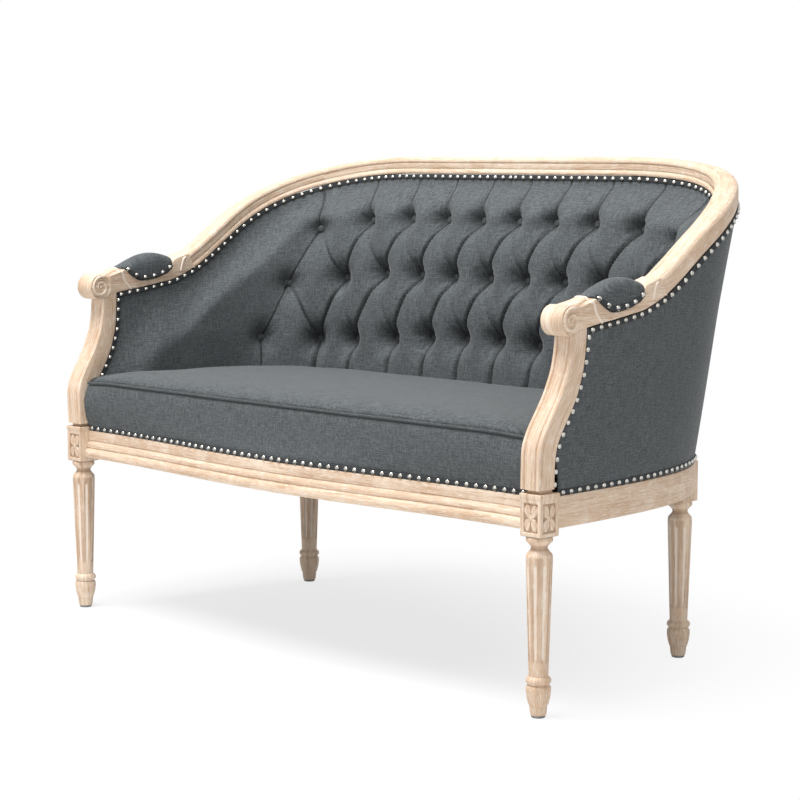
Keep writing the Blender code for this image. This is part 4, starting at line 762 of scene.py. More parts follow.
SIDE_SECTION = (
    # inwards from the face, height
    (0.0, 0.302), (0.0, 0.3500), (0.0006, 0.3515), (0.002, RAIL_TOP), (RAIL_THICKNESS, RAIL_TOP),
    (RAIL_THICKNESS, RAIL_BOTTOM), (0.0025, RAIL_BOTTOM), (0.0006, 0.3006),
)
for word, sign in SIDES:
    rings = []
    for i in range(49):
        t = mix(0.0022, 0.985, i / 48)
        rings.append([mirrored((*side_rail_plan(t, inset * (1.0 if t < 0.93 else 0.2)), z), sign)
                      for inset, z in SIDE_SECTION])
    swept("side_rail_" + word + "_shaped", rings, OAK, "side_rail_" + word)

# %% [markdown]
# The top rail keeps one section from the arm round to the crest: a crowned top,
# a soft outer face, and three bands run along the inner face where the wood
# meets the upholstery.

# %% Top rail
TOP_SECTION = (
    # outwards from the centre line, above it
    (0.0208, -0.0130), (0.0210, -0.0060), (0.0210, 0.0060), (0.0205, 0.0095), (0.0190, 0.0125),
    (0.0165, 0.0147), (0.0120, 0.0162), (0.0060, 0.0169), (-0.0020, 0.0170), (-0.0100, 0.0168),
    (-0.0150, 0.0158), (-0.0182, 0.0140), (-0.0200, 0.0112), (-0.0206, 0.0080), (-0.0203, 0.0064),
    (-0.0198, 0.0054), (-0.0192, 0.0050), (-0.0192, 0.0042), (-0.0195, 0.0034), (-0.0194, 0.0016),
    (-0.0196, -0.0012), (-0.0193, -0.0040), (-0.0192, -0.0056), (-0.0187, -0.0064), (-0.0187, -0.0074),
    (-0.0193, -0.0082), (-0.0200, -0.0096), (-0.0209, -0.0118), (-0.0210, -0.0145), (-0.0203, -0.0163),
    (-0.0190, -0.0170), (-0.0050, -0.0170), (0.0100, -0.0170), (0.0175, -0.0168), (0.0199, -0.0155),
)


def rail_ring(s, sign):
    return [mirrored(rail_edge(s, out, -up), sign) for out, up in TOP_SECTION]


for word, sign in SIDES:
    stations = [mix(ARM_END + 0.0003, CREST_JOINT - 0.0003, i / 44) for i in range(45)]
    swept("side_top_rail_" + word + "_moulded", [rail_ring(s, sign) for s in stations], OAK,
          "side_top_rail_" + word, 50)
stations = [mix(CREST_JOINT, PATH_END, i / 70) for i in range(71)]
rings = [rail_ring(s, 1) for s in stations] + [rail_ring(s, -1) for s in stations[-2::-1]]
swept("crest_rail_moulded", rings, OAK, "crest_rail", 50)

# %% [markdown]
# The arm posts bend twice, like the letter S, and carry two grooves down the
# front. Their section changes in depth from foot to arm, so each slice is read
# from a table on a smooth curve.

# %% Arm posts
POST_STATIONS = (
    # share of the height, front face from the leg's axis, depth, sideways shift
    (0.000, -0.0225, 0.0380, -0.002), (0.138, -0.0230, 0.0380, -0.001), (0.260, -0.0225, 0.0410, 0.000),
    (0.341, -0.0165, 0.0430, 0.001), (0.423, -0.0055, 0.0440, 0.002), (0.504, 0.0075, 0.0430, 0.003),
    (0.585, 0.0195, 0.0410, 0.004), (0.667, 0.0290, 0.0380, 0.005), (0.748, 0.0365, 0.0360, 0.006),
    (0.850, 0.0415, 0.0340, 0.007), (1.000, 0.0450, 0.0330, 0.008),
)


def post_reading(z):
    share = (z - POST_FOOT) / (POST_HEAD - POST_FOOT)
    front, depth, shift = columns_at(POST_STATIONS, share, smooth_table)
    return FRONT_LEG_Y + front, depth, shift


HALF_FACE = (
    # across the front face, back from it
    (-0.5, 0.0040), (-0.490, 0.0016), (-0.455, 0.0003), (-0.400, 0.0000), (-0.345, 0.0001),
    (-0.325, 0.0010), (-0.300, 0.0024), (-0.270, 0.0025), (-0.245, 0.0010), (-0.225, 0.0001),
    (-0.120, -0.0006),
)
POST_FACE = (*HALF_FACE, (0.0, -0.0009), *((-across, back) for across, back in reversed(HALF_FACE)))
POST_REAR = (
    # across the post, share of its depth
    (0.5, 0.35), (0.5, 0.90), (0.485, 0.97), (0.43, 1.0),
    (-0.43, 1.0), (-0.485, 0.97), (-0.5, 0.90), (-0.5, 0.35),
)
NECK_WIDTH, NECK_HEIGHT, NECK_MIDDLE = 0.028, 0.0084, 0.3640
for word, sign in SIDES:
    rings = []
    for i in range(61):
        z = mix(POST_FOOT, POST_HEAD, i / 60)
        front, depth, shift = post_reading(z)
        middle = FRONT_LEG_X + shift
        ring = [(middle + across * POST_WIDTH, front + back, z) for across, back in POST_FACE]
        ring += [(middle + across * POST_WIDTH, front + depth * back, z) for across, back in POST_REAR]
        if i == 60:
            ring = [(x, y, table(ARM_UNDERSIDE, y) + 0.001) for x, y, _ in ring]
        rings.append([mirrored(p, sign) for p in ring])
    swept("arm_post_" + word + "_shaped", rings, OAK, "arm_post_" + word, 38)
    neck = bmesh.new()
    bmesh.ops.create_cube(neck, size=1.0)
    for vert in neck.verts:
        vert.co = (sign * FRONT_LEG_X + vert.co.x * NECK_WIDTH, FRONT_LEG_Y + vert.co.y * NECK_WIDTH,
                   NECK_MIDDLE + vert.co.z * NECK_HEIGHT)
    rounded(neck, neck.edges[:], 0.001, 2)
    finish("post_neck_" + word, neck, OAK, NO_PIECE)

# %% [markdown]
# The arm is sawn from a board to its side outline: a scroll at the front, a
# saddle cut for the pad, then up to the rise. Its edges are rounded over, the
# scroll is a drum, and a spiral band is carved on both of its cheeks.

# %% Arms
SCROLL_Y, SCROLL_Z, SCROLL_RADIUS = FRONT_LEG_Y + 0.038, ARM_Z - 0.0185, 0.0243


def on_scroll(radius, angle):
    """A (y, z) point at an angle round the eye of the scroll."""
    return SCROLL_Y + radius * cos(angle), SCROLL_Z + radius * sin(angle)


def curve_through(points, steps):
    """A smooth line through (y, z) points."""
    marks = [0.0]
    for a, b in zip(points, points[1:]):
        marks.append(marks[-1] + hypot(b[0] - a[0], b[1] - a[1]))
    ys, zs = ([(m, p[k]) for m, p in zip(marks, points)] for k in (0, 1))
    return [(smooth_table(ys, marks[-1] * i / steps), smooth_table(zs, marks[-1] * i / steps))
            for i in range(steps + 1)]


def arm_outline():
    end_low = rail_edge(ARM_END, 0, HALF_H)[1:]
    end_high = rail_edge(ARM_END, 0, -HALF_H)[1:]
    under = curve_through(ARM_UNDERSIDE + [end_low], 30)
    top_point = on_arm(((0.066, 0.0108),))
    saddle = curve_through([end_high, *SADDLE, *top_point, on_scroll(SCROLL_RADIUS, radians(82))], 46)
    scroll = [on_scroll(SCROLL_RADIUS, radians(mix(82, 284, i / 33))) for i in range(1, 33)]
    return under + saddle + scroll


def add_volute(bm, x, out, sign, waxed):
    """The raised spiral band on one cheek of the scroll."""
    turns = 1.55

    def centre(t):
        radius = mix(SCROLL_RADIUS - 0.0032, 0.0046, t ** 0.95)
        angle = radians(58) + 2 * pi * turns * t
        return Vector(on_scroll(radius, angle))

    def place(a, b):
        middle = centre(b)
        ahead = (centre(min(b + 0.004, 1.0)) - centre(max(b - 0.004, 0.0))).normalized()
        normal = Vector((ahead.y, -ahead.x))
        half = mix(0.0033, 0.0023, b)
        across = 2 * a - 1
        height = sqrt(max(1 - across ** 2, 0.0)) * mix(0.0058, 0.0046, b)
        height *= ease(b / 0.02) * ease((1 - b) / 0.02)
        spot = middle + normal * half * across
        point = Vector((sign * (x + out * (height - 0.0030)), spot.x, spot.y))
        waxed[tuple(point)] = 0.35
        return point

    add_grid(bm, 10, 150, place, uv=lambda p, a, b: (p.y, p.z))


DRUM_ROWS = (
    # across from the middle, share of the radius
    (-0.90, 0.0), (-0.90, 0.55), (-0.92, 0.90), (-0.985, 0.965), (-0.93, 1.0),
    (0.93, 1.0), (0.985, 0.965), (0.92, 0.90), (0.90, 0.55), (0.90, 0.0),
)
FRONT_BEAD = on_arm(((0.1135, -0.0262), (0.1060, -0.0190), (0.0990, -0.0110), (0.0945, -0.0020),
                     (0.0915, 0.0070), (0.0880, 0.0132), (0.0845, 0.0162)))
REAR_BEAD = on_arm(((0.2375, 0.0050), (0.2390, 0.0120), (0.2415, 0.0200), (0.2445, 0.0280),
                    (0.2490, 0.0345)))


def level(edge):
    """Does the edge lie in one cheek of the arm?"""
    return abs(edge.verts[0].co.x - edge.verts[1].co.x) < 1e-6


def on_neck(edge, below):
    """Is the edge on the rounded top before the pad, or at most so far below it?"""
    return all(0.036 < v.co.y - FRONT_LEG_Y < 0.0955 and v.co.z > ARM_Z - below for v in edge.verts)


def neck_width(x, y, z):
    """The arm's rounded top draws in just before the pad."""
    if abs(x) > HALF_W - 1e-4 or z < ARM_Z:
        return x
    return x * (1 - 0.34 * bump(y - FRONT_LEG_Y - 0.084, 0.022))


def arm_piece(word, sign):
    bm, waxed = bmesh.new(), {}
    outline = arm_outline()
    verts = [bm.verts.new((0.0, y, z)) for y, z in outline]
    face = bm.faces.new(verts)
    made = bmesh.ops.extrude_face_region(bm, geom=[face])
    far = [v for v in made["geom"] if isinstance(v, bmesh.types.BMVert)]
    bmesh.ops.translate(bm, verts=far, vec=(2 * HALF_W, 0, 0))
    bmesh.ops.translate(bm, verts=bm.verts, vec=(TOP_RAIL_X - HALF_W, 0, 0))
    neck = [e for e in bm.edges if level(e) and on_neck(e, 0.002)]
    rounded(bm, neck, 0.0075, 4)
    for vert in bm.verts:
        vert.co.x = TOP_RAIL_X + neck_width(vert.co.x - TOP_RAIL_X, vert.co.y, vert.co.z)
    rims = [e for e in bm.edges if level(e) and not on_neck(e, 0.012)
            and min(abs(abs(v.co.x - TOP_RAIL_X) - HALF_W) for v in e.verts) < 1e-5
            and all(v.co.y < ARM_UNDERSIDE_END[0] - 0.004 for v in e.verts)]
    rounded(bm, rims, 0.0024, 3)
    lay_uv(bm, lambda face, p: (p.y, p.z if abs(face.normal.x) > 0.7 else p.x))
    bmesh.ops.scale(bm, verts=bm.verts, vec=(sign, 1, 1))
    if sign < 0:
        bmesh.ops.reverse_faces(bm, faces=bm.faces)
    bmesh.ops.recalc_face_normals(bm, faces=bm.faces)
    # the drum of the scroll, a little proud of the arm and hollowed towards its edge
    reach = HALF_W + 0.0016

    def drum(a, b):
        across, radius = DRUM_ROWS[round(b * (len(DRUM_ROWS) - 1))]
        spot = on_scroll((SCROLL_RADIUS + 0.0002) * radius, 2 * pi * a)
        return Vector((sign * (TOP_RAIL_X + across * reach), *spot))

    add_grid(bm, 64, len(DRUM_ROWS) - 1, drum, wrap=True,
             uv=lambda p, a, b: (0.15 * a, p.x) if 0.4 < b < 0.6 else (p.y, p.z))
    for out in (-1, 1):
        add_volute(bm, TOP_RAIL_X + out * reach, out, sign, waxed)
        eye = bmesh.new()
        bmesh.ops.create_uvsphere(eye, u_segments=20, v_segments=12, radius=0.0034)
        bmesh.ops.scale(eye, verts=eye.verts, vec=(0.7, 1, 1))
        bmesh.ops.translate(eye, verts=eye.verts,
                            vec=(sign * (TOP_RAIL_X + out * (reach - 0.0004)), SCROLL_Y, SCROLL_Z))
        pour(eye, bm)
    bead_tubes(bm, curve_through(FRONT_BEAD, 24), sign, 0.0075, waxed)
    bead_tubes(bm, curve_through(REAR_BEAD, 24), sign, 0.0024, waxed)
    finish("arm_" + word + "_carved", bm, OAK, "arm_" + word, 40,
           lambda p: waxed.get(tuple(p), 0.0))


def bead_tubes(bm, path, sign, corner, waxed):
    """A thin round ridge down both cheeks of the arm and over its rounded top."""
    top_y, top_z = path[-1]
    half = [(HALF_W, y, z) for y, z in path if z < top_z - corner]
    for k in range(5):
        angle = pi / 2 * k / 4
        up = top_z - corner + corner * sin(angle) - 0.0003
        half.append((HALF_W - corner * (1 - cos(angle)), top_y, up))
    half.append((HALF_W * 0.3, top_y, top_z - 0.0003))
    half = [(neck_width(x, y, z), y, z) for x, y, z in half]
    line = [Vector((TOP_RAIL_X + x, y, z)) for x, y, z in half]
    line += [Vector((TOP_RAIL_X - x, y, z)) for x, y, z in reversed(half)]

    def place(a, b):
        i = round(b * (len(line) - 1))
        along = (line[min(i + 1, len(line) - 1)] - line[max(i - 1, 0)]).normalized()
        up = along.cross(Vector((1, 0, 0)))
        if up.length < 0.3:
            up = along.cross(Vector((0, 1, 0)))
        up.normalize()
        other = along.cross(up)
        angle = 2 * pi * a
        radius = 0.0021 * (0.35 if i in (0, len(line) - 1) else 1.0)
        point = mirrored(line[i] + (up * cos(angle) + other * sin(angle)) * radius, sign)
        waxed[tuple(point)] = 1.0
        return point

    add_grid(bm, 8, len(line) - 1, place, wrap=True, capped=True, swap=True)


for word, sign in SIDES:
    arm_piece(word, sign)

# %% [markdown]
# Inside, the settee is a tub: the back is straight in the middle, rounds the
# corners and runs into the arms. A point of it is given by u, the distance from
# the middle of the back, and z, its height. Near the rail it is drawn out to the
# rail's inner edge, where the real cloth is nailed.

# %% The tub
TUB_ROWS = (
    # share of the height, back from the crest, side from the rail, corner radius
    (0.008, -0.1115, -0.0500, 0.210), (0.347, -0.0895, -0.0480, 0.220), (0.581, -0.0735, -0.0380, 0.240),
    (0.791, -0.0465, -0.0280, 0.250), (0.971, -0.0230, -0.0225, 0.206),
)
PAD_BOTTOM, WING_BOTTOM = 0.3547, 0.3612


def tub_reading(z):
    """Depth of the back, half width and corner radius of the tub at a height."""
    share = (z - RAIL_TOP) / (CREST_Z - RAIL_TOP)
    back, wall, radius = columns_at(TUB_ROWS, share, table)
    return CREST_Y + back, TOP_RAIL_X + wall, radius


def tub_point(u, z, rise=0.0):
    back, wall, radius = tub_reading(z)
    flat = wall - radius
    a = abs(u)
    if a < flat:
        x, y, nx, ny = a, back, 0.0, -1.0
    elif a < flat + radius * pi / 2:
        angle = (a - flat) / radius
        x, y = flat + radius * sin(angle), back - radius * (1 - cos(angle))
        nx, ny = -sin(angle), -cos(angle)
    else:
        x, y, nx, ny = wall, back - radius - (a - flat - radius * pi / 2), -1.0, 0.0
    sign = 1 if u >= 0 else -1
    return Vector((sign * (x + nx * rise), y + ny * rise, z))


def drawn_to_rail(point, s):
    """Draw a point of the tub out to the top rail's inner edge as it nears the rail."""
    lip = lip_point(s)
    share = ease(1 - (lip.z - point.z) / mix(0.150, 0.080, ease((s - 0.44) / 0.16)))
    x = lip.x if point.x >= 0 else -lip.x
    return Vector((mix(point.x, x, share), mix(point.y, lip.y, share), point.z))


# %% [markdown]
# Deep buttoning is a lattice. Three rows of buttons are staggered by half a
# pitch, and the cloth is folded into a pleat from each button to its neighbours
# in the next row, so every four buttons hold one diamond of stuffing. The lattice
# has its own coordinates: k counts pitches along the back and q counts rows, so a
# pleat is simply a line where k plus or minus half of q is a whole number and a
# half. The grid is laid along those lines, which keeps every pleat crisp.

# %% The tufting lattice
ROW_Z = [RAIL_TOP + share * (CREST_Z - RAIL_TOP) for share in (0.355, 0.581, 0.792)]
TUFT_COLUMNS = ((0, 0.0), (1, 0.0935), (2, 0.187), (2.5, 0.2395), (3, 0.286), (3.5, 0.354),
                (4, 0.397), (4.5, 0.448))
TUFT_END_U = (0.575, 0.527, 0.476)
TUFT_SAG = (
    ((0.05, 0.0), (0.144, 0.004), (0.242, 0.012), (0.356, 0.0185), (0.448, 0.022), (0.575, 0.0195)),
    ((0.29, 0.0), (0.397, 0.0125), (0.527, 0.0255)),
    ((0.24, 0.0), (0.352, 0.0055), (0.476, 0.0245)),
)
PUFF_HEIGHT, FOLD_LEVEL, TUFT_FAN = 0.039, 0.86, 0.07


def between_rows(values, q):
    low, middle, high = values
    q = min(max(q, 0), 2)
    return mix(low, middle, q) if q < 1 else mix(middle, high, q - 1)


def row_height(q, u):
    """Height of a row of the lattice at a distance along the tub."""
    return between_rows(ROW_Z, q) - between_rows([table(sag, abs(u)) for sag in TUFT_SAG], q)


def end_key(q):
    """Key of the last button column, which leans out towards the seat."""
    return 4.5 + (2 - min(max(q, 0), 2)) / 2


def key_to_u(k, q):
    inner = end_key(q) - 1
    a = abs(k)
    u = table(TUFT_COLUMNS, a)
    if a > inner:
        u = mix(table(TUFT_COLUMNS, inner), between_rows(TUFT_END_U, q), a - inner)
    return u if k >= 0 else -u


def button_keys(row):
    last = end_key(row)
    return [-last + i for i in range(int(2 * last) + 1)]


BUTTONS = [(row, key) for row in (0, 1, 2) for key in button_keys(row)]
dice = Random(11)
WRINKLES = {spot: (dice.uniform(0, 2 * pi), dice.uniform(0.6, 1.0)) for spot in BUTTONS}


def end_pits(u, z):
    """How far the end buttons leave the cloth up beside them."""
    left = 1.0
    for row in (0, 1, 2):
        distance = hypot(abs(u) - TUFT_END_U[row], z - row_height(row, TUFT_END_U[row]))
        left *= 1 - 0.92 * exp(-(distance / 0.0245) ** 1.75)
    return left


def lap(p):
    """Across one diamond: it comes out low from under the fold above, fills out, and ends in a lip."""
    if p >= 0.999 or p <= 0.0005:
        return FOLD_LEVEL - 0.20
    rise = FOLD_LEVEL + (1 - FOLD_LEVEL) * sin(pi / 2 * min(p / 0.26, 1.0)) ** 0.75
    return rise * (1 - 0.06 * bump(1 - p, 0.05))


def foot_fade(z):
    """The stuffing thins out at the foot, below the seat."""
    return 0.35 + 0.65 * ease((z - PAD_BOTTOM) / 0.05)


def puff(k, q, u, z, top, fraction):
    """Height of the stuffing over the tub."""
    row_q = min(max(q, 0.0), 2.0)
    across, against = k - row_q / 2 - 0.5, k + row_q / 2 - 0.5
    p, r = across - floor(across + 1e-6), floor(against + 1 - 1e-6) - against
    level = lap(p) * lap(r)
    if q > 2 or q < 0:
        away = fraction if q > 2 else 1 - fraction
        reach = abs(k - 0.5 - round(k - 0.5)) * 0.09
        pleat = 1 - (0.40 * bump(reach, 0.0035) + 0.10 * bump(reach, 0.012)) * (1 - 0.60 * away)
        level = mix(level, pleat * 0.96, ease(away / 0.45))
    height, fold = level, 0.0
    for row in (0, 1, 2):
        key = round(k - row / 2 - 0.5) + row / 2 + 0.5
        if abs(key) <= end_key(row) + 0.01:
            button_u = key_to_u(key, row)
            du, dz = u - button_u, z - row_height(row, button_u)
            distance = hypot(du, dz)
            height *= 1 - exp(-(distance / 0.0245) ** 1.75)
            if distance < 0.06:
                phase, strength = WRINKLES.get((row, key), (0.0, 0.0))
                angle = atan2(dz, du)
                ripple = sin(9 * angle + phase) + 0.6 * sin(14 * angle + 2 * phase)
                fold += 0.0021 * strength * ripple * bump(distance - 0.018, 0.009)
    height *= mix(0.66, 1.0, ease((end_key(row_q) - abs(k)) / 0.6))
    height *= 1 + 0.05 * waver(u * 16, z * 16, 3.1)
    return (PUFF_HEIGHT * height + fold) * ease((top - z) / 0.035) * foot_fade(z)


def pit_shade(du, dz):
    """Painted shade round a button, deepest above and to the left of it as seen from the front, with dark
    rays along its wrinkles.
    """
    wide = hypot(du + 0.0030, dz - 0.0030) / 0.0145
    angle, radius = atan2(dz, du), hypot(du, dz)
    rays = max(sin(13 * angle), 0.0) * bump(radius - 0.015, 0.008) * (0.55 + 0.45 * sin(angle))
    return 0.60 * exp(-wide ** 2) + 0.20 * exp(-(wide * 1.9) ** 2) + 0.20 * rays * (1 - exp(-wide ** 2))


def fold_shade(k, q, u, z, pleated):
    """How much shade to paint on the cloth: 1 on a tight pleat, less on the slack ones and round the
    buttons.
    """
    row_q = min(max(q, 0.0), 2.0)
    dark = 0.0
    if pleated:
        across, against = k - row_q / 2 - 0.5, k + row_q / 2 - 0.5
        if abs(k) > end_key(row_q) - 0.001:
            dark = 0.9
        elif 0 <= q <= 2 and abs(across - round(across)) < 0.001:
            dark = 1.0
        elif 0 <= q <= 2:
            dark = 0.12 if abs(against - round(against)) < 0.001 else 0.0
        elif abs(k - 0.5 - round(k - 0.5)) < 0.001:
            dark = 0.85
    for row in (0, 1, 2):
        key = round(k - row / 2 - 0.5) + row / 2 + 0.5
        if abs(key) <= end_key(row) + 0.01:
            at = key_to_u(key, row)
            pit = pit_shade(u - at, z - row_height(row, at))
            dark = dark + pit - dark * pit
    return dark


# %% [markdown]
# The rows of the grid run from the hidden bottom edge, through the three rows of
# buttons, to the rail, and then back down behind as a plain lining, which closes
# the pad. Each square near a pleat is split along its deeper diagonal, or the
# pleat would look like a saw.

# %% Buttoned back
FINE, END_RISE, END_STRIP = 40, 0.021, 0.004
COLUMNS_HALF = round(5.5 * FINE) + 1
LOW_ROWS, MID_ROWS, TOP_ROWS, LINING_ROWS = 20, 40, 16, 38
PAD_ROWS = LOW_ROWS + MID_ROWS + TOP_ROWS


def held_key(column, q):
    """The key of a column of the grid, which stops at the last button's."""
    limit = end_key(max(q, 0))
    return min(max(column / FINE, -limit), limit)


def pad_reading(column, row):
    """Distance along the tub, height and stuffing for one corner of the grid."""
    if row < LOW_ROWS:
        q, fraction = -1.0, row / LOW_ROWS
    elif row <= LOW_ROWS + MID_ROWS:
        q, fraction = (row - LOW_ROWS) * 2.0 / MID_ROWS, None
    else:
        q, fraction = 3.0, (row - LOW_ROWS - MID_ROWS) / TOP_ROWS
    k = held_key(column, q)
    if q < 0:
        u = key_to_u(k, 0) * mix(0.99, 1.0, fraction)
        z = mix(PAD_BOTTOM, row_height(0, u), fraction)
        top = CREST_Z
    elif fraction is None:
        u = key_to_u(k, q)
        z = row_height(q, u)
        top = CREST_Z
    else:
        u = key_to_u(k, 2)
        low = row_height(2, u)
        u *= 1 + TUFT_FAN * fraction
        top = lip_point(rail_line(u)).z
        z = mix(low, top, fraction)
    if abs(column) == COLUMNS_HALF:
        u += END_STRIP if column > 0 else -END_STRIP
        top = lip_point(rail_line(u)).z
        if fraction == 1 and q > 0:
            z = top
        return u, z, END_RISE * end_pits(u, z) * ease((top - z) / 0.05) * foot_fade(z)
    return u, z, puff(k, q, u, z, top, fraction)


shades = {}


def shade_at(point):
    return shades.get(tuple(point), 0.0)


def pad_spot(a, b):
    """The column and row of the grid at a share of its width and height."""
    return round(a * 2 * COLUMNS_HALF) - COLUMNS_HALF, round(b * (PAD_ROWS + LINING_ROWS))


def pad_place(a, b):
    column, row = pad_spot(a, b)
    if row <= PAD_ROWS:
        u, z, rise = pad_reading(column, row)
        point = drawn_to_rail(tub_point(u, z, rise), rail_line(u))
        q = -1.0 if row < LOW_ROWS else min((row - LOW_ROWS) * 2.0 / MID_ROWS, 3.0)
        pleated = abs(column) < COLUMNS_HALF and row > 2
        shades[tuple(point)] = fold_shade(held_key(column, q), q, u, z, pleated)
        return point
    behind = PAD_ROWS - round((row - PAD_ROWS) * PAD_ROWS / LINING_ROWS)
    u, z, rise = pad_reading(column, behind)
    if 0 < behind and abs(column) < COLUMNS_HALF:
        rise = -0.012
    return drawn_to_rail(tub_point(u, z, rise), rail_line(u))


def pad_uv(point, a, b):
    """The weave runs level and upright, whatever the folds do."""
    column, row = pad_spot(a, b)
    u, z, _ = pad_reading(column, min(row, PAD_ROWS))
    return u, z + max(row - PAD_ROWS, 0) * 0.1


bm = bmesh.new()
add_grid(bm, 2 * COLUMNS_HALF, PAD_ROWS + LINING_ROWS, pad_place, wrap=True, capped=True, uv=pad_uv)


BEND_X, BEND_Y = 0.34, 0.08


def dip(vert):
    """How far back or out from the seat a corner lies: deeper corners are further."""
    p = vert.co
    return p.y if abs(p.x) < BEND_X else hypot(abs(p.x) - BEND_X, p.y - BEND_Y)


fixed, other = [], []
for face in bm.faces:
    if len(face.verts) == 4:
        deep = [dip(v) for v in face.verts]
        (fixed if deep[0] + deep[2] > deep[1] + deep[3] else other).append(face)
bmesh.ops.triangulate(bm, faces=fixed, quad_method="FIXED", ngon_method="BEAUTY")
other = [face for face in other if face.is_valid]
bmesh.ops.triangulate(bm, faces=other, quad_method="ALTERNATE", ngon_method="BEAUTY")
back_cushion = finish("tufted_back", bm, LINEN, "back_pad", 180, shade_at)

# %% [markdown]
# A covered button is a small dome with the same linen pulled over it, and the
# cloth gathers a little at its rim. All of them are one piece.

# %% Covered buttons
BUTTON_RADIUS = 0.0080
bm = bmesh.new()
for row, key in BUTTONS:
    u = key_to_u(key, row)
    z = row_height(row, u)
    seat = drawn_to_rail(tub_point(u, z), rail_line(u))
    slope = (tub_point(u, z + 0.03) - tub_point(u, z - 0.03)).normalized()
    inward = tub_point(u, z, 0.01) - tub_point(u, z)
    inward = (inward - slope * inward.dot(slope)).normalized()
    across = slope.cross(inward)
    turn = WRINKLES[row, key][0]

    def button(a, b):
        angle, tilt = 2 * pi * a, pi * b
        radius = BUTTON_RADIUS * sin(tilt) ** 0.8
        gather = 1 + 0.03 * sin(11 * angle + turn) * bump(b - 0.55, 0.12)
        height = 0.0016 + (0.0042 if b < 0.5 else 0.0034) * cos(tilt)
        spread = across * cos(angle) * radius * gather + slope * sin(angle) * radius * gather
        return seat + spread + inward * height

    add_grid(bm, 20, 10, button, wrap=True, uv=lambda p, a, b: (p.x, p.z))
# The buttons are painted 35% darker, as shade in their pits.
buttons = finish("back_buttons", bm, LINEN, NO_PIECE, 180, lambda p: 0.35)

# %% [markdown]
# Between the last pleat and the arm post the tub is smooth: one panel on each
# side, pulled into the pleat at its back edge and nailed to the arm above.

# %% Inside arms


def post_gap(z):
    front, depth, shift = post_reading(min(z, POST_HEAD))
    return front + depth + 0.002, FRONT_LEG_X + shift - POST_WIDTH / 2 + 0.004


WING_FORE = post_gap(POST_HEAD)[0] - ARM_FRONT_Y


def wing_rear(z):
    corners = [(row_height(row, TUFT_END_U[row]), TUFT_END_U[row]) for row in (0, 1, 2)]
    top_u = TUFT_END_U[2] * (1 + TUFT_FAN)
    corners.append((lip_point(rail_line(top_u)).z, top_u))
    corners.insert(0, (PAD_BOTTOM, TUFT_END_U[0] * 0.99))
    return table(corners, z)


def wing_front(z):
    back, wall, radius = tub_reading(z)
    return wall - radius + radius * pi / 2 + (back - radius) - post_gap(z)[0]


def wing_levels(top_z):
    knee, head = row_height(0, TUFT_END_U[0]), row_height(2, TUFT_END_U[2])
    rear_top = lip_point(rail_line(TUFT_END_U[2] * (1 + TUFT_FAN) + END_STRIP)).z
    share = (head - knee) / (rear_top - knee)
    low = [mix(WING_BOTTOM, knee, i / 5) for i in range(5)]
    steps = (0, share / 3, share * 2 / 3, share, (1 + share) / 2, 1)
    return low + [mix(knee, top_z, step) for step in steps]


def wing_swell(t, v):
    """How full the panel is: t runs from the last pleat to the arm post, v from foot to rail."""
    from_pleat = ease(t / 0.30) * 0.75 + 0.25 * ease(t / 0.08)
    return from_pleat * ease((1 - t) / 0.3) * ease((1 - v) / 0.22) * (0.5 + 0.5 * ease(v / 0.2))


WING_ACROSS, WING_UP, WING_BEHIND = 70, 60, 30


def wing_place(sign):
    rear = rail_line(TUFT_END_U[2] * (1 + TUFT_FAN) + END_STRIP + 0.0022)

    def place(t, b):
        row = round(b * (WING_UP + WING_BEHIND))
        front = row <= WING_UP
        share = row / WING_UP if front else (WING_UP + WING_BEHIND - row) / WING_BEHIND
        s = mix(rear, WING_FORE, t)
        top_z = lip_point(s).z - 0.0020 * min(6 * t, 1.0)
        levels = wing_levels(top_z)
        z = table([(i / 10, level) for i, level in enumerate(levels)], share)
        u = mix(wing_rear(z) + END_STRIP, wing_front(z), t)
        along = mix(rail_line(wing_rear(z) + END_STRIP), s, min(6 * t, 1.0))
        v = (z - WING_BOTTOM) / (top_z - WING_BOTTOM)
        rise = 0.012 * wing_swell(t, v) * ease(t / 0.5)
        rise += END_RISE * (1 - ease((t - 0.03) / 0.60)) * ease((top_z - z) / 0.05) * foot_fade(z)
        rise *= end_pits(u, z)
        inside = ease(t / 0.2) * ease((1 - t) / 0.2) * ease((1 - v) / 0.2)
        rise += 0.0010 * waver(u * 14, z * 9, 5.0 + sign) * inside
        point = drawn_to_rail(tub_point(u, z, rise), along)
        point.x = mix(point.x, post_gap(z)[1], ease((t - 0.75) / 0.25))
        if not front and 0 < share < 1 and 0 < t < 1:
            depth = 0.012 * (1 - ease((t - 0.8) / 0.2)) + 0.002
            back = drawn_to_rail(tub_point(u, z, -depth), along)
            if t > 0.5:
                back.x = max(back.x, point.x + 0.003)
            point = back
        point = mirrored(point, sign)
        if front:
            shades[tuple(point)] = max(pit_shade(sign * (u - end), z - row_height(row, end))
                                       for row, end in enumerate(TUFT_END_U))
        return point
    return place


def wing_uv(point, a, b):
    """The weave stays level: distance along the tub, then height."""
    return mix(wing_rear(point.z), wing_front(point.z), a), point.z + (0.5 if b > 0.67 else 0.0)


for word, sign in SIDES:
    bm = bmesh.new()
    add_grid(bm, WING_ACROSS, WING_UP + WING_BEHIND, wing_place(sign), wrap=True, capped=True, uv=wing_uv)
    panel = finish("inside_arm_" + word, bm, LINEN, "inside_arm_pad_" + word, 60, shade_at)

# %% [markdown]
# The seat is one tight upholstered block. Its front band is straight, then a thin
# piped welt turns the corner, and the top rises in one long low crown. The cloth
# is looser near the welt, where hand stitching leaves it slightly wavy.

# %% Seat
SEAT_EDGE_Z = 0.448
SEAT_HALF = FRONT_LEG_X - 0.002 - POST_WIDTH / 2


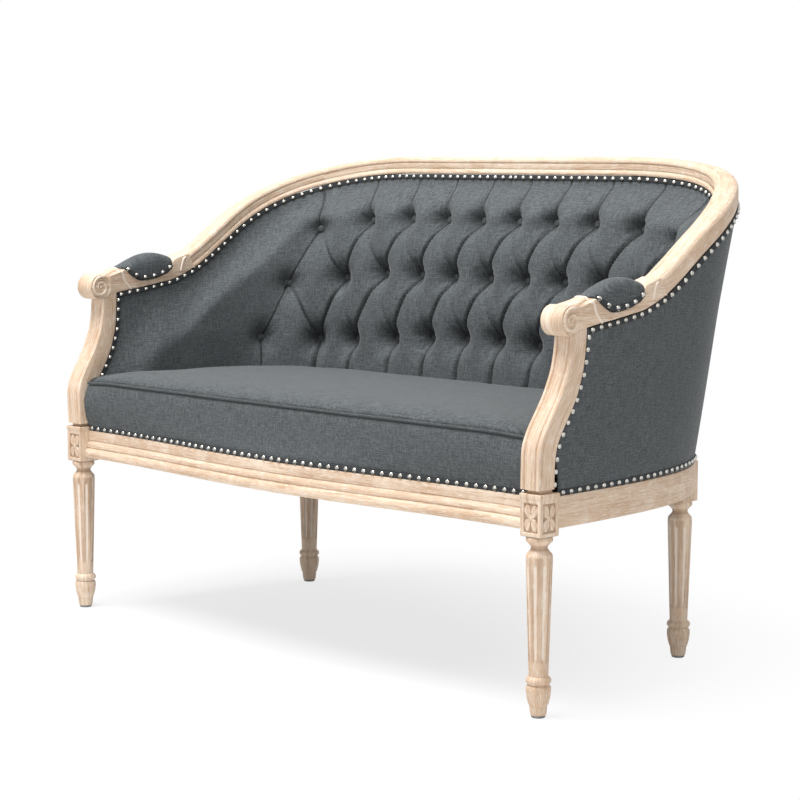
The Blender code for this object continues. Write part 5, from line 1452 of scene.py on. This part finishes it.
def seat_front(x, share):
    straighter = FRONT_LEG_Y - 0.0135 - 0.006 * (front_edge(x) - FRONT_RAIL_END_Y) / -FRONT_BOW
    return mix(front_edge(x), straighter, share)


def seat_outline(share):
    end = SEAT_HALF - 0.0015
    front = [(mix(-end, end, i / 120), seat_front(mix(-end, end, i / 120), share)) for i in range(121)]
    back, wall, radius = tub_reading(SEAT_EDGE_Z)
    flat = wall - radius
    reach = flat + radius * pi / 2 + (back - radius) - (FRONT_LEG_Y + 0.038)
    rear, fore = wing_rear(SEAT_EDGE_Z), wing_front(SEAT_EDGE_Z)
    right = [(end, FRONT_LEG_Y + 0.004), (end, FRONT_LEG_Y + 0.012), (end, FRONT_LEG_Y + 0.026)]
    for i in range(60):
        u = mix(reach, 0.01, i / 59)
        t = (u - rear) / (fore - rear)
        tuck = mix(0.0385, 0.0150, ease((u - flat - 0.10) / 0.09)) * mix(0.15, 1.0, ease((1 - t) / 0.3))
        point = tub_point(u, SEAT_EDGE_Z, tuck)
        wide = mix(point.x, post_gap(SEAT_EDGE_Z)[1], ease((t - 0.75) / 0.25))
        right.append((min(wide, end + 0.005), point.y))
    return front + right + [(-x, y) for x, y in reversed(right)]


def inset_line(outline, amount):
    """The outline moved inwards along its own normals."""
    count, moved = len(outline), []
    for i, point in enumerate(outline):
        ahead = Vector(outline[(i + 1) % count]) - Vector(outline[i - 1])
        normal = Vector((-ahead.y, ahead.x)).normalized()
        moved.append(Vector(point) + normal * amount)
    return moved


SEAT_LEVELS = (
    # share of the plan kept, inset, height, how far from the rail's bow to the welt's
    (1.0, 0.0055, PAD_BOTTOM, 0.0), (1.0, 0.0030, 0.3602, 0.2), (1.0, 0.0016, 0.3700, 0.5),
    (1.0, 0.0008, 0.3830, 0.75), (1.0, 0.0002, 0.3980, 0.92), (1.0, 0.0000, 0.4120, 1.0),
    (1.0, 0.0004, 0.4250, 1.0), (1.0, 0.0012, 0.4350, 1.0), (1.0, 0.0024, 0.4415, 1.0),
    (1.0, 0.0046, 0.4456, 1.0), (1.0, 0.0066, 0.4478, 1.0), (1.0, 0.0066, 0.4506, 1.0),
    (0.998, 0.0058, 0.4527, 1.0), (0.992, 0.0056, 0.4558, 1.0), (0.980, 0.0052, 0.4590, 1.0),
    (0.960, 0.0045, 0.4624, 1.0), (0.93, 0.0038, 0.4655, 1.0), (0.89, 0.0036, 0.4683, 1.0),
    (0.84, 0.0035, 0.4705, 1.0), (0.78, 0.0035, 0.4720, 1.0), (0.70, 0.0035, 0.4731, 1.0),
    (0.60, 0.0035, 0.4738, 1.0), (0.48, 0.0035, 0.4742, 1.0), (0.34, 0.0035, 0.4744, 1.0),
    (0.18, 0.0035, 0.4745, 1.0), (0.0, 0.0035, 0.4745, 1.0),
)
SEAT_RINGS = [inset_line(seat_outline(share), inset) for _, inset, _, share in SEAT_LEVELS]
SEAT_MIDDLE = Vector((0.0, FRONT_LEG_Y + 0.226))


def corner_drop(x, y=FRONT_LEG_Y):
    """The front corners of the cushion sink and round back beside the arm posts."""
    return ease((abs(x) - 0.490) / 0.095) * ease((FRONT_LEG_Y + 0.110 - y) / 0.095)


def seat_place(a, b):
    level = round(b * (len(SEAT_LEVELS) - 1))
    kept, _, z, _ = SEAT_LEVELS[level]
    ring = SEAT_RINGS[level]
    x, y = SEAT_MIDDLE.lerp(ring[round(a * len(ring)) % len(ring)], kept)
    side_on = 1.0 if 0 < level < 10 else 0.0
    wave = waver(x * 7, y * 7, z * 11)
    y += 0.0007 * side_on * wave
    sink = corner_drop(x, y) * ease((z - 0.405) / 0.045)
    y += 0.0060 * sink * ease((FRONT_LEG_Y + 0.03 - y) / 0.03)
    z -= 0.0040 * sink
    if level > 11:
        z -= 0.0075 * ease((y + 0.10) / 0.24)
        z += 0.0011 * wave * ease((1 - kept) / 0.06)
        edge = ease((1 - kept) / 0.03) * ease((kept - 0.5) / 0.4)
        z += 0.0005 * waver(x * 30, y * 26, 8.0) * edge
    return Vector((x, y, z))


bm = bmesh.new()
add_grid(bm, len(SEAT_RINGS[0]), len(SEAT_LEVELS) - 1, seat_place, wrap=True, capped=True,
         uv=lambda p, a, b: (p.x, p.y + p.z if b < 0.4 else p.y + 0.5))
seat = finish("seat_cushion", bm, LINEN, "seat_pad", 50)

# %% [markdown]
# The welt is a cord in a strip of the same linen, painted a little darker as
# shade along the seam: a thin tube, with the weave running round it and along it.

# %% Seat welt
WELT_END, WELT_RADIUS, WELT_Z = SEAT_HALF - 0.003, 0.0025, 0.4495


def welt_place(a, b):
    x = mix(-WELT_END, WELT_END, b)
    angle = 2 * pi * a
    radius = WELT_RADIUS * (1 + 0.05 * waver(x * 90, 1.0, 2.0))
    y = seat_front(x, 1) + 0.0037 + 0.0060 * corner_drop(x) + 0.0004 * waver(x * 12, 4.0, 2.0)
    z = WELT_Z - 0.0040 * corner_drop(x) + 0.0006 * waver(x * 9, 7.0, 2.0)
    return Vector((x, y + radius * cos(angle), z + radius * sin(angle)))


bm = bmesh.new()
add_grid(bm, 12, 220, welt_place, wrap=True, capped=True)
finish("seat_piping", bm, WELT_LINEN, "seat_welt", 60)

# %% [markdown]
# The arm pads sit in the saddles of the arms. Each is domed, a little wider than
# the wood, and its cloth is nailed down all round through a strip of braid.

# %% Arm pads
PAD_FIRST, PAD_LAST = SADDLE[-1][0] + 0.0060, SADDLE[0][0] - 0.0052
SADDLE_LINE = SADDLE[::-1]


def arm_pad_reading(t):
    y = mix(PAD_FIRST, PAD_LAST, t)
    base = table(SADDLE_LINE, y) + 0.0012
    dome = max(sin(pi * t ** 1.70), 0.0) ** 0.72
    top = mix(mix(ARM_Z + 0.0180, ARM_Z + 0.0345, t), ARM_Z + 0.0438, dome)
    return y, base, top, dome


def arm_pad_half(t):
    """Half the width of the pad: its front end is a narrow tongue."""
    return mix(0.0125, 0.0225, ease(t / 0.26 + 0.1))


def arm_pad_place(sign):
    def place(a, b):
        t = 0.5 - 0.5 * cos(pi * b)
        y, base, top, dome = arm_pad_reading(t)
        half = arm_pad_half(t)
        if a < 0.18:
            x, z = mix(-half, half, a / 0.18), base
        else:
            angle = pi * (a - 0.18) / 0.82
            swell = half + 0.0030 * dome * max(sin(angle), 0.0) ** 0.5
            x = swell * (1 if cos(angle) > 0 else -1) * abs(cos(angle)) ** 0.72
            z = base + (top - base) * max(sin(angle), 0.0) ** 0.66
        z += 0.0006 * waver(x * 40, y * 30, sign + 2.0) * (z - base) / (top - base + 0.001)
        return Vector((sign * (TOP_RAIL_X + x), y, z))
    return place


for word, sign in SIDES:
    bm = bmesh.new()
    add_grid(bm, 60, 56, arm_pad_place(sign), wrap=True, capped=True, uv=lambda p, a, b: (p.y, p.x + p.z))
    pad = finish("arm_cushion_" + word, bm, LINEN, "arm_pad_" + word, 75)

# %% [markdown]
# Outside, each arm and the back are one flat piece of linen pulled tight over the
# frame. These are true sheets, so each is made as a surface and given its cloth
# thickness with Solidify.

# %% Outside covers


def cover_top(w):
    s = mix(WING_FORE, COVER_CORNER, w)
    x, y = rail_plan(s, HALF_W - CLOTH_BELOW)
    return x, y, cloth_top(s, y) - 0.001


def cover_point(w, v):
    low = Vector((*side_rail_plan(mix(0.02, 1.0, w), 0.0015), RAIL_TOP + 0.0006))
    point = low.lerp(Vector(cover_top(w)), v)
    point.x += 0.004 * sin(pi * min(v * 1.6, 1.0)) * (1 - v)
    straight = mix(side_rail_plan(0.02, 0.0015)[1], cover_top(0)[1], v)
    front, depth, _ = post_reading(point.z)
    point.y += (front + depth + 0.0015 - straight) * (1 - w) ** 3 * min(4 * v, 1.0)
    return point


def back_cover_point(a, v):
    share, sign = abs(a), (1 if a >= 0 else -1)
    s = mix(PATH_END, COVER_CORNER, share)
    x, y = rail_plan(s, HALF_W - CLOTH_BELOW)
    high = Vector((x, y, cloth_top(s, y)))
    end = side_rail_plan(1.0, 0.0015)
    y = mix(BACK_RAIL_Y - 0.0015, end[1], ease((share - 0.9) / 0.1))
    point = Vector((share * end[0], y, RAIL_TOP + 0.0006)).lerp(high, v)
    if share > 0.97:
        edge = cover_point(1, v) + Vector((-0.0009, 0.0009, 0))
        point = point.lerp(edge, (share - 0.97) / 0.03)
    return mirrored(point, sign)


def as_sheet(piece, place, thickness=0.0030, offset=-1.0):
    wall = piece.modifiers.new("cloth thickness", "SOLIDIFY")
    wall.thickness, wall.offset = thickness, offset
    sheet_area(place)


def cover(name, across, along, place, flat, replaces):
    bm = bmesh.new()
    add_grid(bm, across, along, place, uv=lambda p, a, b: (a * flat[0], p.z))
    as_sheet(finish(name, bm, LINEN, replaces, 60), place)


def sheet_area(place):
    """Area of a surface, summed over triangles."""
    steps, total = 40, 0.0
    for i in range(steps):
        for j in range(steps):
            p, q, r, t = (Vector(place((i + di) / steps, (j + dj) / steps)) for di, dj in
                          ((0, 0), (1, 0), (1, 1), (0, 1)))
            total += ((q - p).cross(r - p).length + (r - p).cross(t - p).length) / 2
    return total


for word, sign in SIDES:
    def side_cover(a, b):
        w = a + 0.06 * sin(2 * pi * a) / (2 * pi)
        point = cover_point(w if sign > 0 else 1 - w, b)
        return mirrored(point, sign)

    cover("outside_arm_" + word, 72, 40, side_cover, (0.72, 0.56), "outside_arm_cover_" + word)


def back_cover(a, b):
    return back_cover_point(1 - 2 * a, b)


cover("outside_back", 140, 30, back_cover, (1.18, 0.52), "outside_back_cover")

# %% [markdown]
# A thin black lining closes the underside. It is stapled round the rails and
# sags a little in the middle.

# %% Underside lining
low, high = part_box("dust_cover")


def lining_place(a, b):
    y = mix(low.y, high.y, b)
    edge = FRONT_LEG_X - 0.03 - 0.118 * ease((y - FRONT_LEG_Y - 0.10) / 0.40)
    x = mix(-edge, edge, a)
    front = front_edge(x) + 0.008
    y = mix(front, BACK_RAIL_Y - 0.006, b)
    sag = 0.0012 * sin(pi * a) * sin(pi * b) + 0.0004 * waver(x * 12, y * 12, 0)
    return Vector((x, y, low.z + 0.0002 + 0.0004 - max(sag, 0) * 0.2))


bm = bmesh.new()
add_grid(bm, 60, 30, lining_place)
under = finish("underside_lining", bm, LINING, "dust_cover", 60)
as_sheet(under, lining_place, 0.0006, 0.0)

# %% [markdown]
# Braid and nails follow the edges of the cloth. One helper lays both along a
# line: the braid is a flat strip swept along it, and the nails are small domes
# set at an even pitch, each facing out of the surface below it.

# %% Braid and nails


def nail_dome():
    """A few dozen faces: half of a small sphere, closed underneath."""
    dome = bmesh.new()
    bmesh.ops.create_uvsphere(dome, u_segments=12, v_segments=8, radius=1.0)
    bmesh.ops.bisect_plane(dome, geom=dome.verts[:] + dome.edges[:] + dome.faces[:],
                           plane_co=(0, 0, -0.02), plane_no=(0, 0, -1), clear_outer=True)
    bmesh.ops.holes_fill(dome, edges=[e for e in dome.edges if e.is_boundary], sides=0)
    bmesh.ops.recalc_face_normals(dome, faces=dome.faces)
    # The UV holds the distance from the middle and the place across the head, from which the nail
    # material paints its dark rim and dark reflection.
    lay_uv(dome, lambda face, p: (hypot(p.x, p.y), p.y))
    mesh = bpy.data.meshes.new("nail_dome")
    dome.to_mesh(mesh)
    dome.free()
    return mesh


NAIL = nail_dome()
NAIL_PITCH, NAIL_MARGIN, NAIL_RADIUS, NAIL_RISE, NAIL_LIFT = 0.0205, 0.006, 0.0047, 0.0036, 0.0008


class Trim:
    """A line on the settee: points, and the way out of the surface at each."""

    def __init__(self, points, outs):
        self.points, self.outs = points, outs
        self.reach = [0.0]
        for a, b in zip(points, points[1:]):
            self.reach.append(self.reach[-1] + (b - a).length)
        self.length = self.reach[-1]

    def at(self, distance):
        """The point, the way along and the way out at a distance from the start."""
        distance = min(max(distance, 0.0), self.length)
        i = 0
        while distance > self.reach[i + 1] and i < len(self.points) - 2:
            i += 1
        t = (distance - self.reach[i]) / max(self.reach[i + 1] - self.reach[i], 1e-9)
        along = (self.points[i + 1] - self.points[i]).normalized()
        out = self.outs[i].lerp(self.outs[i + 1], t)
        out = (out - along * out.dot(along)).normalized()
        return self.points[i].lerp(self.points[i + 1], t), along, out


BRAID_WIDTH, BRAID_THICKNESS = 0.0095, 0.0011
BRAID_SECTION = (
    # share of the width, share of the thickness
    (-0.5, -0.4), (-0.5, 0.5), (-0.40, 0.95), (-0.2, 0.85), (0.0, 1.0),
    (0.2, 0.85), (0.40, 0.95), (0.5, 0.5), (0.5, -0.4),
)


def add_braid(bm, trim):
    def place(a, b):
        point, along, out = trim.at(trim.length * b)
        across = along.cross(out)
        side_way, up = BRAID_SECTION[round(a * len(BRAID_SECTION)) % len(BRAID_SECTION)]
        return point + across * side_way * BRAID_WIDTH + out * up * BRAID_THICKNESS

    steps = max(2, ceil(trim.length / 0.008))
    add_grid(bm, len(BRAID_SECTION), steps, place, wrap=True, capped=True, swap=True)


def add_nails(bm, trim):
    length = trim.length - 2 * NAIL_MARGIN
    count = max(1, round(length / NAIL_PITCH))
    for i in range(count + 1):
        wander = dice.uniform(-0.0006, 0.0006)
        point, along, out = trim.at(NAIL_MARGIN + length * i / count + wander)
        across = along.cross(out)
        # Each head is turned so that its painted dark reflection falls on the lower side.
        if across.z > 0.05 or (abs(across.z) <= 0.05 and across.y < 0):
            along, across = -along, -across
        size = NAIL_RADIUS * dice.uniform(0.97, 1.03)
        turn = Matrix((along * size, across * size, out * NAIL_RISE)).transposed().to_4x4()
        start = len(bm.verts)
        bm.from_mesh(NAIL)
        bm.verts.ensure_lookup_table()
        fresh = bm.verts[start:]
        bmesh.ops.transform(bm, matrix=Matrix.Translation(point + out * NAIL_LIFT) @ turn, verts=fresh)


def line_on(reader, steps):
    """Make a line from a function of 0 to 1 that gives a point and a way out."""
    points, outs = [], []
    for i in range(steps + 1):
        point, out = reader(i / steps)
        points.append(Vector(point))
        outs.append(Vector(out).normalized())
    return Trim(points, outs)


def front_rail_line():
    end = FRONT_LEG_X - 0.027

    def reader(t):
        x = mix(-end, end, t)
        slope = (front_edge(x + 0.001) - front_edge(x - 0.001)) / 0.002
        return (x, front_edge(x) + 0.0012, 0.3568), (slope, -1, 0.05)
    return line_on(reader, 100)


def side_rail_line(sign):
    """Along the foot of the outside arm cover, facing out of its surface."""
    def reader(t):
        w, v = mix(0.004, 0.992, t), mix(0.0175, 0.0185, t)
        level_way = cover_point(min(w + 0.004, 1.0), v) - cover_point(max(w - 0.004, 0.0), v)
        upward = cover_point(w, min(v + 0.01, 1.0)) - cover_point(w, max(v - 0.01, 0.0))
        out = level_way.cross(upward).normalized()
        out.z *= 0.9
        return mirrored(cover_point(w, v) + out * 0.0006, sign), mirrored(out, sign)
    return line_on(reader, 60)


def back_rail_line():
    end = BACK_LEG_X + 0.006

    def reader(t):
        x = mix(-end, end, t)
        return (x, back_cover_point(x / side_rail_plan(1.0)[0], 0.012).y + 0.0004, 0.3575), (0, 1, 0)
    return line_on(reader, 60)


def post_line(sign, outer):
    """Down the rear edge of the arm post, on the outer cover or on the inside arm."""
    def reader(t):
        low = 0.3665 if outer else 0.452
        z = mix(POST_HEAD - 0.004, low, t)
        front, depth, shift = post_reading(z)
        if outer:
            v = (z - 0.3526) / (cover_top(0)[2] - 0.3526)
            point = cover_point(0.012, v)
            return (sign * (point.x + 0.0006), front + depth + 0.0044, z), (sign, 0.0, 0.05)
        x = FRONT_LEG_X + shift - POST_WIDTH / 2 + 0.0035
        return (sign * x, front + depth + 0.0062, z), (-sign, 0, 0.05)
    return line_on(reader, 40)


def arm_under_line(sign, outer):
    """Under the arm and up the rise, round the corner and along the crest to the middle."""
    def reader(t):
        s = mix(WING_FORE + 0.003, PATH_END, t)
        if outer:
            x, y = rail_plan(s, HALF_W - 0.0008)
            out = Vector(rail_plan(s, 1.0)) - Vector(rail_plan(s, 0.0))
        else:
            x, y = rail_plan(s, 0.0016 - HALF_W)
            out = Vector(rail_plan(s, 0.0)) - Vector(rail_plan(s, 1.0))
        down = 0.0045 * sqrt(1 + (rail_slope(s) if s > ARM_END else 0) ** 2)
        return (x * sign, y, cloth_top(s, y) - down), (out.x * sign, out.y, 0.0)
    return line_on(reader, 220)


def arm_pad_line(sign, cheek):
    """Along the lower edge of the arm pad, on one cheek."""
    def reader(t):
        share = mix(0.085, 0.98, t)
        y, base, _, dome = arm_pad_reading(share)
        x = TOP_RAIL_X + cheek * (arm_pad_half(share) + 0.0003 + 0.0012 * dome)
        return (sign * x, y, base + 0.0040), (sign * cheek, 0, 0.15)
    return line_on(reader, 50)


braid, nails = bmesh.new(), bmesh.new()
lines = [front_rail_line(), back_rail_line()]
for _, sign in SIDES:
    add_nails(nails, post_line(sign, True))
    lines += [side_rail_line(sign), post_line(sign, False)]
    lines += [arm_under_line(sign, True), arm_under_line(sign, False)]
    lines += [arm_pad_line(sign, -1), arm_pad_line(sign, 1)]
for line in lines:
    add_braid(braid, line)
    add_nails(nails, line)
finish("braid_trim", braid, BRAID, NO_PIECE, 60)
finish("nail_heads", nails, NICKEL, NO_PIECE, 60)

# %% [markdown]
# The solids that stay as they are get a real finish too: beech inside, jute
# webbing, nylon glides, and oak on the back rail.

# %% Finishes for the solids that stay
KEPT = {"back_rail": OAK_SOLID_X, "seat_brace": BEECH_Y, "seat_webbing": JUTE}
for word, _ in SIDES:
    KEPT["back_post_" + word] = BEECH_Z
    for end in ("front_", "back_"):
        KEPT[end + "glide_" + word] = NYLON
        KEPT[end + "corner_block_" + word] = BEECH_X
for name, material in KEPT.items():
    solid = bpy.data.objects[name]
    if solid.material_slots:
        for place in solid.material_slots:
            place.material = material
    else:
        solid.data.materials.append(material)

# %% [markdown]
# The room is a white floor that only keeps a soft shadow, a white surround for
# the camera, and plain soft light: a large window-like lamp from the upper left,
# a weaker one from the right, and the sky.

# %% Floor, light and view
WHITE, SHADE_MIDDLE = (1.0, 1.0, 1.0, 1.0), (-0.30, -0.40, 0.0)


def studio_floor():
    shop = Shop("white_floor", Roughness=0.9)
    shop.shader.inputs["Base Color"].default_value = (0.86, 0.86, 0.86, 1.0)
    glow = shop.node("ShaderNodeEmission", {"Color": WHITE, "Strength": 1.0})
    spot = shop.node("ShaderNodeTexCoord", output="Object")
    far = shop.node("ShaderNodeVectorMath", [spot, SHADE_MIDDLE], output=1, operation="DISTANCE")
    # painted light for the camera: white glow mixed over the lit floor, 73% near SHADE_MIDDLE and all of
    # it 1.4 m away, so the shadow fades out from there
    amount = shop.seen() * (0.73 + far.between(0.55, 1.40) * 0.27)
    lit = Wire(shop, shop.shader.outputs[0])
    both = shop.node("ShaderNodeMixShader", [amount, lit, glow])
    shop.tree.links.new(both.socket, shop.tree.nodes["Material Output"].inputs["Surface"])
    return shop.material


bm = bmesh.new()
bmesh.ops.create_grid(bm, x_segments=2, y_segments=2, size=60.0)
floor_mesh = bpy.data.meshes.new("floor")
bm.to_mesh(floor_mesh)
bm.free()
floor = bpy.data.objects.new("floor", floor_mesh)
floor_mesh.materials.append(studio_floor())
bpy.context.scene.collection.objects.link(floor)

world = bpy.data.worlds.new("studio")
bpy.context.scene.world = world
room = Bench(world)
room.tree.nodes.clear()
sky, white = (room.node("ShaderNodeBackground", {"Color": WHITE, "Strength": strength})
              for strength in (0.50, 1.0))
room.node("ShaderNodeOutputWorld", [room.node("ShaderNodeMixShader", [room.seen(), sky, white])])


def softbox(name, place, aim, size, power):
    data = bpy.data.lights.new(name, "AREA")
    data.shape, data.size, data.size_y, data.energy = "RECTANGLE", size[0], size[1], power
    lamp = bpy.data.objects.new(name, data)
    lamp.location = place
    lamp.rotation_euler = (Vector(aim) - Vector(place)).to_track_quat("-Z", "Y").to_euler()
    bpy.context.scene.collection.objects.link(lamp)


softbox("window", (-0.35, -1.35, 4.2), (0, 0, 0.4), (2.6, 2.2), 250.0)
softbox("fill", (3.4, -1.9, 2.0), (0.3, 0, 0.4), (1.8, 1.8), 15.0)

bpy.context.scene.view_settings.view_transform = "Standard"
